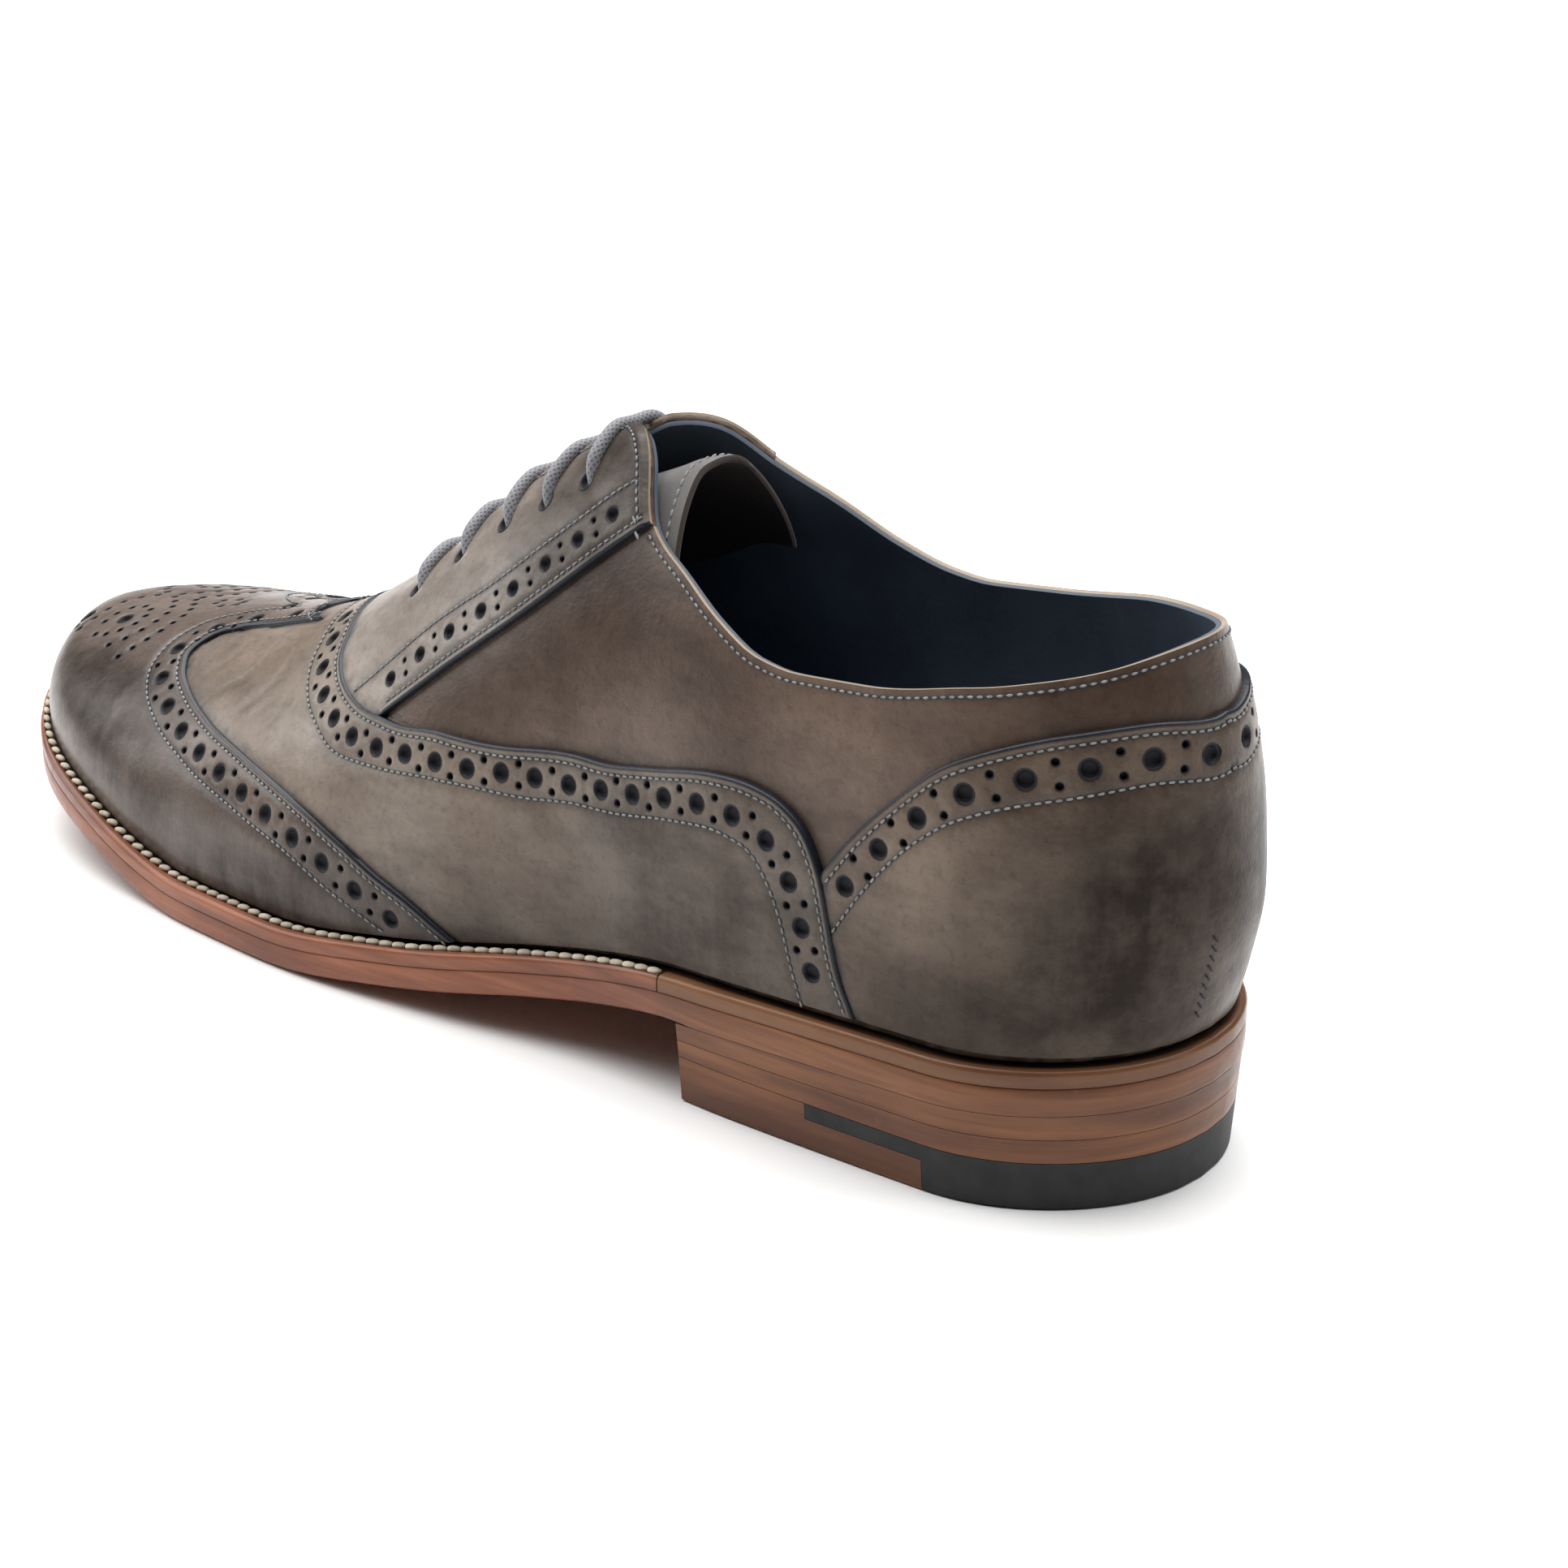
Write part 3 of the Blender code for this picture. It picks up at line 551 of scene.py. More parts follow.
class Shader(Wiring):
    """Wires one Principled material from small procedural pieces."""

    def __init__(self, name: str, roughness: float) -> None:
        """Start a material that reads Object coordinates.

        Args:
            name: Name of the material.
            roughness: Its plain roughness.
        """
        self.material = bpy.data.materials.new(name)
        self.material.use_nodes = True
        super().__init__(self.material.node_tree)
        self.surface = self.tree.nodes["Principled BSDF"]
        self.surface.inputs["Roughness"].default_value = roughness
        self.coords = self.made("ShaderNodeTexCoord", "Object", {})

    def place(self, stretch: Colour, turn: Colour = (0.0, 0.0, 0.0)) -> Socket:
        """Object coordinates stretched and turned."""
        inputs = {"Vector": self.coords, "Scale": stretch, "Rotation": turn}
        return self.made("ShaderNodeMapping", "Vector", inputs)

    def noise(self, scale: float, detail: float = 2.0, rough: float = 0.5,
              at: Socket | None = None) -> Socket:
        """Cloudy pattern from 0 to 1."""
        inputs = {"Vector": at or self.coords, "Scale": scale, "Detail": detail, "Roughness": rough}
        return self.made("ShaderNodeTexNoise", "Fac", inputs)

    def cells(self, scale: float) -> Socket:
        """Distance pattern of small cells."""
        return self.made("ShaderNodeTexVoronoi", "Distance", {"Vector": self.coords, "Scale": scale})

    def bring(self, value: Socket, low: float, high: float,
              start: float = 0.0, end: float = 1.0) -> Socket:
        """Map a range of values onto another, clamped."""
        inputs = {"From Min": low, "From Max": high, "To Min": start, "To Max": end, "Value": value}
        return self.made("ShaderNodeMapRange", "Result", inputs)

    def sum(self, operation: str, *values: object, clamp: bool = True) -> Socket:
        """One step of arithmetic."""
        return self.made("ShaderNodeMath", 0, dict(enumerate(values)), operation=operation, use_clamp=clamp)

    def mix(self, share: object, a: object, b: object) -> Socket:
        """Blend of two colours."""
        return self.made("ShaderNodeMix", 2, {0: share, 6: a, 7: b}, data_type="RGBA")

    def painted(self, name: str) -> Socket:
        """Value painted on the mesh under a name."""
        return self.made("ShaderNodeAttribute", "Fac", {}, attribute_name=name)

    def bump(self, layers: Sequence[tuple[Socket, float, float]]) -> None:
        """Stack reliefs on the surface.

        Args:
            layers: Pattern, strength and depth in millimetres of each relief.
        """
        below: dict[str, object] = {}
        for height, strength, depth in layers:
            relief = {"Strength": strength, "Distance": depth * MM, "Height": height, **below}
            below = {"Normal": self.made("ShaderNodeBump", "Normal", relief)}
        self.feed(self.surface.inputs["Normal"], below["Normal"])

    def set(self, **sockets: object) -> Material:
        """Feed sockets of the surface by name, with underscores for spaces.

        Args:
            **sockets: Sockets or values by name.

        Returns:
            The material.
        """
        for key, value in sockets.items():
            self.feed(self.surface.inputs[key.replace("_", " ")], value)
        return self.material


@dataclass(frozen=True)
class Calf:
    """Taupe calf: pale on open ground, dark where burnished and where painted shade is laid, inked at edges
    and holes, with painted shade in stitch grooves and under overlapping edges.
    """

    name: str
    pale: Colour
    warm: Colour
    # Dark colour for mottle and burnish, also used for painted shade through the polish mask.
    deep: Colour = (0.016, 0.0095, 0.0065)
    # Dark edge ink, also used for painted shade in stitch grooves and under overlapping panel edges.
    ink: Colour = (0.011, 0.013, 0.019)
    raw: Colour = (0.27, 0.21, 0.155)
    roughness: float = 0.34
    coat: float = 0.07
    strokes: float = 0.1

    def material(self) -> Material:
        """Make the material.

        Returns:
            The material.
        """
        sh = Shader(self.name, self.roughness)
        cloud = sh.noise(27.0, 5.0, 0.6)
        mottle = sh.noise(66.0, 6.0, 0.68, sh.place((0.45, 1.0, 1.0), (0.0, 0.35, 0.0)))
        brushed = sh.noise(150.0, 4.0, 0.65, sh.place((1.0, 1.0, 0.22), (0.25, 0.15, 0.0)))
        speckle = sh.noise(620.0, 3.0, 0.7)
        ground = sh.mix(sh.bring(cloud, 0.38, 0.62), self.pale, self.warm)
        ground = sh.mix(sh.bring(mottle, 0.43, 0.7, 0.0, 0.52), ground, self.deep)
        ground = sh.mix(sh.bring(speckle, 0.5, 0.74, 0.0, 0.3), ground, self.deep)
        # Polish mask, partly real burnish and partly painted shade, darkens the ground towards the deep
        # colour.
        polish_and_shade_level = sh.sum("MULTIPLY", sh.painted("burnish"), sh.bring(mottle, 0.32, 0.68, 0.86, 1.2))
        streaks = sh.bring(brushed, 0.3, 0.66, 1.0 - self.strokes, 1.0 + 0.6 * self.strokes)
        polish_and_shade_level = sh.sum("MULTIPLY", polish_and_shade_level, streaks)
        colour = sh.mix(polish_and_shade_level, ground, self.deep)
        scuff = sh.noise(90.0, 3.0, 0.7, sh.place((1.0, 14.0, 3.0), (0.3, 0.2, 0.9)))
        colour = sh.mix(sh.bring(scuff, 0.66, 0.84, 0.0, 0.22), colour, self.pale)
        # Edge ink, with painted shade in stitch grooves and under overlapping panel edges.
        colour = sh.mix(sh.painted("ink"), colour, self.ink)
        colour = sh.mix(sh.painted("raw"), colour, self.raw)
        pores = sh.cells(1250.0)
        grain = sh.noise(640.0, 4.0, 0.65)
        ripple = sh.noise(85.0, 3.0, 0.55)
        sh.bump(((ripple, 0.12, 1.2), (grain, 0.42, 0.22), (pores, 0.26, 0.1), (scuff, 0.08, 0.12)))
        return sh.set(
            Base_Color=colour,
            Roughness=sh.bring(mottle, 0.3, 0.75, self.roughness - 0.07, self.roughness + 0.12),
            Coat_Weight=self.coat,
            Coat_Roughness=0.24,
            Specular_IOR_Level=sh.bring(polish_and_shade_level, 0.25, 0.95, 0.22, 0.07),
        )


@dataclass(frozen=True)
class SoleLeather:
    """Waxed brown leather of a sole edge, with thin lines where its layers meet."""

    name: str
    light: Colour
    dark: Colour
    layer_scale: float
    layer_share: float
    rear_light: Colour = (0.25, 0.098, 0.038)
    rear_dark: Colour = (0.1, 0.034, 0.014)
    rear_from: float = 52.0
    roughness: float = 0.36

    def material(self) -> Material:
        """Make the material.

        Returns:
            The material.
        """
        sh = Shader(self.name, self.roughness)
        cloud = sh.noise(40.0, 3.0, 0.55, sh.place((0.45, 0.45, 4.0)))
        fibre = sh.noise(60.0, 4.0, 0.65, sh.place((1.0, 1.0, 11.0)))
        layers = sh.noise(self.layer_scale, 2.0, 0.6, sh.place((0.05, 0.05, 1.0)))
        rub = sh.noise(260.0, 3.0, 0.6)
        along = sh.made("ShaderNodeSeparateXYZ", "X", {0: sh.coords})
        rear = sh.bring(along, self.rear_from * MM, (self.rear_from + 4.0) * MM)
        light = sh.mix(rear, self.light, self.rear_light)
        dark = sh.mix(rear, self.dark, self.rear_dark)
        colour = sh.mix(sh.bring(cloud, 0.34, 0.64), light, dark)
        colour = sh.mix(sh.bring(fibre, 0.42, 0.74, 0.0, 0.42), colour, dark)
        colour = sh.mix(sh.bring(layers, 0.42, 0.66, 0.0, self.layer_share), colour, dark)
        colour = sh.mix(sh.bring(rub, 0.6, 0.8, 0.0, 0.3), colour, light)
        # Painted shade: in the welt's stitch groove, along the rand's top next to the upper, and on hidden
        # inner faces; also a darker lower seam.
        colour = sh.mix(sh.painted("ink"), colour, (0.03, 0.016, 0.011))
        sh.bump(((layers, 0.06, 0.2), (fibre, 0.1, 0.2), (rub, 0.2, 0.15)))
        return sh.set(
            Base_Color=colour,
            Roughness=sh.bring(rub, 0.3, 0.75, self.roughness - 0.05, self.roughness + 0.16),
            Coat_Weight=0.28,
            Coat_Roughness=0.22,
            Specular_IOR_Level=0.2,
        )


@dataclass(frozen=True)
class Nap:
    """Plain fibrous finish for lining, tongue, insole, rubber, thread and punched edges."""

    name: str
    light: Colour
    dark: Colour
    patch: float
    grain: float
    relief: float
    roughness: float
    sheen: float = 0.0
    raw: Colour = (0.13, 0.082, 0.055)
    specular: float = 0.25

    def material(self) -> Material:
        """Make the material.

        Returns:
            The material.
        """
        sh = Shader(self.name, self.roughness)
        colour = sh.mix(sh.bring(sh.noise(self.patch, 3.0), 0.3, 0.7), self.light, self.dark)
        colour = sh.mix(sh.painted("raw"), colour, self.raw)
        sh.bump(((sh.noise(self.grain, 2.0, 0.6), 0.3, self.relief),))
        return sh.set(Base_Color=colour, Sheen_Weight=self.sheen, Sheen_Roughness=0.5,
                      Specular_IOR_Level=self.specular)


@dataclass(frozen=True)
class Braid:
    """Waxed round cord, with a plaited relief along its own UV map and painted shade in the plait's grooves.
    """

    name: str = "waxed_cord"
    # Ridge colour, and the darker colour painted into the plait's grooves as shade.
    light: Colour = (0.205, 0.202, 0.222)
    dark: Colour = (0.095, 0.094, 0.105)
    turns: float = 7.0

    def material(self) -> Material:
        """Make the material.

        Returns:
            The material.
        """
        sh = Shader(self.name, 0.62)
        uv = sh.made("ShaderNodeUVMap", "UV", {}, uv_map="cord")
        along, around = (sh.made("ShaderNodeSeparateXYZ", axis, {0: uv}) for axis in "XY")
        waves = []
        for slope in (1.0, -1.0):
            lean = sh.sum("MULTIPLY_ADD", around, slope * self.turns, along, clamp=False)
            turn = sh.sum("MULTIPLY", lean, 2.0 * math.pi, clamp=False)
            waves.append(sh.bring(sh.sum("SINE", turn, clamp=False), -1.0, 1.0))
        plait = sh.sum("MAXIMUM", *waves)
        # Painted shade: the plait's grooves take the dark colour, its ridges the light one.
        colour = sh.mix(sh.bring(plait, 0.35, 1.0), self.dark, self.light)
        sh.bump(((plait, 0.45, 0.2), (sh.noise(1500.0), 0.25, 0.1)))
        return sh.set(Base_Color=colour, Sheen_Weight=0.15)


class Finishes:
    """Every material of the shoe, made once."""

    def __init__(self) -> None:
        """Make the materials."""
        self.quarter = Calf("quarter_calf", (0.145, 0.1, 0.075), (0.07, 0.042, 0.03)).material()
        self.vamp = Calf("vamp_calf", (0.248, 0.204, 0.166), (0.158, 0.118, 0.09)).material()
        self.stay = Calf("facing_calf", (0.295, 0.258, 0.228), (0.195, 0.16, 0.133)).material()
        self.toe = Calf("toe_calf", (0.178, 0.14, 0.117), (0.098, 0.068, 0.052), coat=0.16,
                        strokes=0.3).material()
        self.counter = Calf("counter_calf", (0.2, 0.147, 0.108), (0.11, 0.074, 0.052),
                            coat=0.08).material()
        self.edge = SoleLeather("sole_edge", (0.335, 0.115, 0.053), (0.135, 0.04, 0.019), 900.0,
                                0.4).material()
        self.stack = SoleLeather("stacked_heel", (0.25, 0.098, 0.038), (0.1, 0.034, 0.014), 330.0,
                                 0.8).material()
        self.rand = SoleLeather("heel_rand", (0.225, 0.096, 0.038), (0.12, 0.047, 0.019), 500.0, 0.3,
                                rear_light=(0.225, 0.096, 0.038), rear_dark=(0.12, 0.047, 0.019)).material()
        self.lining = Nap("lining", (0.09, 0.115, 0.15), (0.056, 0.071, 0.098), 60.0, 900.0, 0.15, 0.7,
                          raw=(0.07, 0.085, 0.105)).material()
        self.tongue = Nap("tongue_leather", (0.115, 0.108, 0.102), (0.072, 0.067, 0.064), 120.0, 1500.0, 0.2,
                          0.8, 0.2, raw=(0.038, 0.027, 0.022)).material()
        self.rubber = Nap("tip_rubber", (0.027, 0.0275, 0.029), (0.016, 0.0165, 0.018), 200.0, 2200.0, 0.12,
                          0.52).material()
        self.punched = Nap("punched_edge", (0.01, 0.01, 0.014), (0.005, 0.005, 0.008), 400.0, 1200.0, 0.1,
                           0.6).material()
        self.thread = Nap("grey_thread", (0.27, 0.275, 0.272), (0.15, 0.155, 0.155), 900.0, 3000.0, 0.1,
                          0.7).material()
        self.welt_thread = Nap("cream_thread", (0.6, 0.53, 0.42), (0.4, 0.34, 0.26), 500.0, 2500.0, 0.15,
                               0.65).material()
        # Dark thread for the back stitches, also used for the painted groove shade under wall stitches.
        self.dark_thread = Nap("dark_thread", (0.03, 0.03, 0.036), (0.015, 0.015, 0.02), 900.0, 3000.0,
                               0.1, 0.7).material()
        self.cord = Braid().material()
        self.floor = Nap("studio_floor", (0.9, 0.9, 0.895), (0.88, 0.88, 0.875), 2.0, 40.0, 0.02,
                         0.6).material()


def in_scene(name: str, data: bpy.types.ID) -> Piece:
    """Make an object and put it in the scene.

    Args:
        name: Name of the object.
        data: Its mesh, camera or light.

    Returns:
        The object.
    """
    obj = bpy.data.objects.new(name, data)
    bpy.context.scene.collection.objects.link(obj)
    return obj


def place_mesh(name: str, points: Array, faces: Sequence[Sequence[int]], material: Material,
               **painted: Array) -> Piece:
    """Make a smooth-shaded object from points and faces.

    Args:
        name: Name of the object.
        points: Points in millimetres.
        faces: Corners of each face.
        material: Finish of the piece.
        **painted: Values for each point or each face, kept under their names.

    Returns:
        The new object, in the scene.
    """
    mesh = bpy.data.meshes.new(name)
    mesh.from_pydata((np.asarray(points) * MM).tolist(), [], [list(map(int, f)) for f in faces])
    for key, values in painted.items():
        domain = "POINT" if len(values) == len(points) else "FACE"
        layer = mesh.attributes.new(key, "FLOAT", domain)
        layer.data.foreach_set("value", np.asarray(values, dtype=np.float32))
    bm = bmesh.new()
    bm.from_mesh(mesh)
    bmesh.ops.remove_doubles(bm, verts=bm.verts, dist=0.002 * MM)
    bmesh.ops.dissolve_degenerate(bm, edges=bm.edges, dist=0.0005 * MM)
    bm.to_mesh(mesh)
    bm.free()
    mesh.shade_smooth()
    mesh.materials.append(material)
    return in_scene(name, mesh)


def turned_out(obj: Piece, sharp: float | None = None) -> Piece:
    """Turn the faces of a closed piece outwards, and keep edges over an angle crisp.

    Args:
        obj: The piece.
        sharp: Angle in degrees, or nothing for an all-smooth piece.

    Returns:
        The same piece.
    """
    bm = bmesh.new()
    bm.from_mesh(obj.data)
    bmesh.ops.recalc_face_normals(bm, faces=bm.faces)
    bm.to_mesh(obj.data)
    bm.free()
    if sharp is not None:
        obj.data.set_sharp_from_angle(angle=math.radians(sharp))
    return obj


def hand_in(obj: Piece, slot: str, *nodes: str) -> Piece:
    """Fasten a finished piece to the shoe and hide the solids that it stands for.

    Args:
        obj: The piece.
        slot: Not used.
        *nodes: Solids that it stands for.

    Returns:
        The same piece.
    """
    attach(obj, BODY)
    if nodes:
        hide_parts(*nodes)
    LOG.info("%s: %d faces", obj.name, len(obj.data.polygons))
    return obj


class Sheet:
    """Collects grids of points into one surface."""

    def __init__(self) -> None:
        """Start with nothing."""
        self.points: list[Array] = []
        self.faces: list[tuple[int, ...]] = []
        self.marks: list[float] = []
        self.count = 0

    def grid(self, points: Array, flip: bool = False, mark: float = 0.0) -> None:
        """Add a grid of quads, all with one painted mark.

        Args:
            points: Rows and columns of points.
            flip: Whether the faces turn over.
            mark: Value painted on them.
        """
        rows, columns = points.shape[:2]
        ids = self.count + np.arange(rows * columns).reshape(rows, columns)
        quads = np.stack([ids[:-1, :-1], ids[1:, :-1], ids[1:, 1:], ids[:-1, 1:]], axis=-1).reshape(-1, 4)
        self.faces.extend(map(tuple, quads[:, ::-1] if flip else quads))
        self.marks.extend([mark] * len(quads))
        self.points.append(points.reshape(-1, 3))
        self.count += rows * columns

    def made(self, name: str, material: Material) -> Piece:
        """Make the object, with the marks painted on it as raw edges."""
        return place_mesh(name, np.concatenate(self.points), self.faces, material, raw=np.array(self.marks))


class Hole(NamedTuple):
    """One punched hole: its place and the radius of its opening."""

    station: float
    height: float
    radius: float


class Patch(NamedTuple):
    """Soft patch of darker colour, partly real burnish and partly painted shade: its middle, its reach along
    and up the upper, and its depth.
    """

    station: float
    height: float
    length: float
    width: float
    depth: float


class Stitch(NamedTuple):
    """Size of one stitch and the spacing along its row."""

    pitch: float
    length: float
    radius: float
    lean: float = 0.0


class Tool(NamedTuple):
    """A Geometry Nodes tree and the identifiers of its named inputs."""

    tree: bpy.types.NodeTree
    inputs: dict[str, str]


class Bench:
    """Holds the Geometry Nodes trees that sew rows and punch holes."""

    def __init__(self) -> None:
        """Build both trees."""
        self.sew = self.tool("stitch_row", True)
        self.punch = self.tool("punched_holes", False)

    @staticmethod
    def tool(name: str, follows_row: bool) -> Tool:
        """Build a tree that sets a shape along rows, or on single points.

        Args:
            name: Name of the tree.
            follows_row: Whether the points are spaced along rows.

        Returns:
            The tree with its inputs.
        """
        inputs: dict[str, str] = {}
        tree = bpy.data.node_groups.new(name, "GeometryNodeTree")
        sockets = (("Places", "NodeSocketGeometry"), ("Pitch", "NodeSocketFloat"),
                   ("Shape", "NodeSocketObject"), ("Finish", "NodeSocketMaterial"))
        for label, kind in sockets:
            inputs[label] = tree.interface.new_socket(label, in_out="INPUT", socket_type=kind).identifier
        tree.interface.new_socket("Result", in_out="OUTPUT", socket_type="NodeSocketGeometry")
        nodes = Wiring(tree)
        given = tree.nodes.new("NodeGroupInput")
        places = given.outputs["Places"]
        axes = {"Primary Axis": nodes.made("GeometryNodeInputNamedAttribute", "Attribute", {"Name": "facing"},
                                           data_type="FLOAT_VECTOR")}
        if follows_row:
            curve = nodes.made("GeometryNodeMeshToCurve", "Curve", {"Mesh": places})
            spacing = {"Curve": curve, "Length": given.outputs["Pitch"]}
            places = nodes.made("GeometryNodeResampleCurve", "Curve", spacing, mode="LENGTH")
            axes["Secondary Axis"] = nodes.made("GeometryNodeInputTangent", "Tangent", {})
        turn = nodes.made("FunctionNodeAxesToRotation", "Rotation", axes,
                          primary_axis="Z", secondary_axis="X")
        shape = nodes.made("GeometryNodeObjectInfo", "Geometry", {"Object": given.outputs["Shape"]})
        spots = {"Points": places, "Instance": shape, "Rotation": turn}
        put = nodes.made("GeometryNodeInstanceOnPoints", "Instances", spots)
        real = nodes.made("GeometryNodeRealizeInstances", "Geometry", {"Geometry": put})
        dressed = {"Geometry": real, "Material": given.outputs["Finish"]}
        finished = nodes.made("GeometryNodeSetMaterial", "Geometry", dressed)
        nodes.feed(tree.nodes.new("NodeGroupOutput").inputs["Result"], finished)
        return Tool(tree, inputs)

    @staticmethod
    def helper(name: str, points: Array, faces: Sequence[Sequence[int]] = (),
               edges: Sequence[tuple[int, int]] = (), facing: Array | None = None) -> Piece:
        """Helper object that a tree reads, in metres.

        Args:
            name: Name of the helper.
            points: Points in millimetres.
            faces: Corners of faces.
            edges: Ends of edges.
            facing: Direction kept at each point.

        Returns:
            The helper.
        """
        mesh = bpy.data.meshes.new(name)
        mesh.from_pydata((np.asarray(points) * MM).tolist(), list(edges), [list(f) for f in faces])
        if facing is not None:
            layer = mesh.attributes.new("facing", "FLOAT_VECTOR", "POINT")
            layer.data.foreach_set("vector", np.asarray(facing, dtype=np.float32).ravel())
        return in_scene(name, mesh)

    @staticmethod
    def run(name: str, tool: Tool, places: Piece, shape: Piece,
            finish: Material, pitch: float = 1.0) -> Piece:
        """Run a tree over a helper and keep the result as a plain mesh.

        Args:
            name: Name of the result.
            tool: Tree to run.
            places: Helper with the rows or points.
            shape: Helper with the shape to repeat.
            finish: Material of the result.
            pitch: Spacing along rows.

        Returns:
            The finished object.
        """
        modifier = places.modifiers.new(name, "NODES")
        modifier.node_group = tool.tree
        for label, value in (("Pitch", pitch * MM), ("Shape", shape), ("Finish", finish)):
            modifier[tool.inputs[label]] = value
        bpy.context.view_layer.update()
        mesh = bpy.data.meshes.new_from_object(places.evaluated_get(bpy.context.evaluated_depsgraph_get()))
        for helper in (places, shape):
            bpy.data.objects.remove(helper)
        mesh.name = name
        mesh.shade_smooth()
        return in_scene(name, mesh)


def hole_sides(radius: float) -> int:
    """Number of sides that make a hole look round."""
    return 16 if radius > 1.0 else 9


def stitch_shape(stitch: Stitch) -> tuple[Array, list[list[int]]]:
    """Rounded bead of thread lying along X.

    Args:
        stitch: Sizes of the stitch.

    Returns:
        Points and faces.
    """
    rings, around = 4, 6
    polar = np.linspace(0.0, math.pi, rings + 2)[1:-1]
    angle = np.linspace(0.0, 2.0 * math.pi, around, endpoint=False)
    x = np.repeat(-np.cos(polar) * stitch.length / 2.0, around)
    size = np.repeat(np.sin(polar) ** 0.6 * stitch.radius, around)
    y = size * np.tile(np.cos(angle), rings) + stitch.lean * x
    z = size * np.tile(np.sin(angle), rings)
    points = np.column_stack([x, y, z])
    ends = np.array([[-stitch.length / 2.0, -stitch.lean * stitch.length / 2.0, 0.0],
                     [stitch.length / 2.0, stitch.lean * stitch.length / 2.0, 0.0]])
    faces = []
    for j in range(around):
        k = (j + 1) % around
        faces.append([rings * around, j, k])
        faces.append([rings * around + 1, (rings - 1) * around + k, (rings - 1) * around + j])
        for i in range(rings - 1):
            faces.append([i * around + j, (i + 1) * around + j, (i + 1) * around + k, i * around + k])
    return np.concatenate([points, ends]), [f[::-1] for f in faces]


def punch_shape(radius: float, depth: float, around: int) -> tuple[Array, list[list[int]]]:
    """Dished lip, wall and floor of one punched hole, opening towards +Z.

    Args:
        radius: Radius of the opening.
        depth: Depth of the floor.
        around: Number of sides.

    Returns:
        Points and faces.
    """
    lip = 0.3 * radius
    rings = ((radius + lip, 0.02), (radius + 0.45 * lip, -0.05), (radius, -0.3),
             (0.92 * radius, -0.8 * depth), (0.6 * radius, -depth))
    angle = np.linspace(0.0, 2.0 * math.pi, around, endpoint=False)
    points = [np.column_stack([r * np.cos(angle), r * np.sin(angle), np.full(around, z)]) for r, z in rings]
    points.append(np.array([[0.0, 0.0, -depth]]))
    faces = []
    for j in range(around):
        k = (j + 1) % around
        for i in range(len(rings) - 1):
            faces.append([i * around + j, i * around + k, (i + 1) * around + k, (i + 1) * around + j])
        faces.append([(len(rings) - 1) * around + j, (len(rings) - 1) * around + k, len(rings) * around])
    return np.concatenate(points), [f[::-1] for f in faces]


@dataclass
class Needlework:
    """Gathers stitch rows and punched holes from all the pieces, then makes them."""

    bench: Bench
    rows: dict[str, list[tuple[Array, Array]]] = field(default_factory=dict)
    punches: dict[float, list[tuple[Array, Array]]] = field(default_factory=dict)

    def row(self, group: str, points: Array, facing: Array) -> None:
        """Add a row of stitches along points."""
        self.rows.setdefault(group, []).append((points, facing))

    def sew_line(self, group: str, places: Array, rise: float, sides: Sequence[Side]) -> None:
        """Add a row along places of the upper, on one or both sides."""
        for side in sides:
            self.row(group, LAST.over(*places.T, side, rise), LAST.normal(*places.T, side))

    def punch_at(self, hole: Hole, rise: float, sides: Sequence[Side]) -> None:
        """Add one hole on one or both sides.

        Args:
            hole: The hole.
            rise: Height over the form.
            sides: Sides that have it.
        """
        for side in sides[:1] if hole.height > 0.9999 else sides:
            spot = LAST.over(*hole[:2], side, rise), LAST.normal(*hole[:2], side)
            self.punches.setdefault(hole.radius, []).append(spot)

    def make_rows(self, group: str, stitch: Stitch, finish: Material) -> Piece:
        """Sew all the rows of one group.

        Args:
            group: Group of rows, and name of the piece.
            stitch: Sizes of a stitch.
            finish: Thread.

        Returns:
            The stitches.
        """
        points = np.concatenate([p for p, _ in self.rows[group]])
        facing = np.concatenate([f for _, f in self.rows[group]])
        edges = []
        first = 0
        for row, _ in self.rows[group]:
            edges.extend((i, i + 1) for i in range(first, first + len(row) - 1))
            first += len(row)
        places = Bench.helper(group + "_rows", points, edges=edges, facing=facing)
        shape = Bench.helper(group + "_stitch", *stitch_shape(stitch))
        return self.bench.run(group, self.bench.sew, places, shape, finish, stitch.pitch)

    def make_punches(self, radius: float, depth: float, finish: Material) -> Piece:
        """Make every hole of one radius.

        Args:
            radius: Radius of the holes.
            depth: Their depth.
            finish: Its material.

        Returns:
            The holes.
        """
        spots, facing = map(np.array, zip(*self.punches[radius]))
        name = f"punched_{round(radius * 200)}"
        places = Bench.helper(name + "_places", spots, facing=facing)
        shape = Bench.helper(name + "_shape", *punch_shape(radius, depth, hole_sides(radius)))
        return self.bench.run(name, self.bench.punch, places, shape, finish)


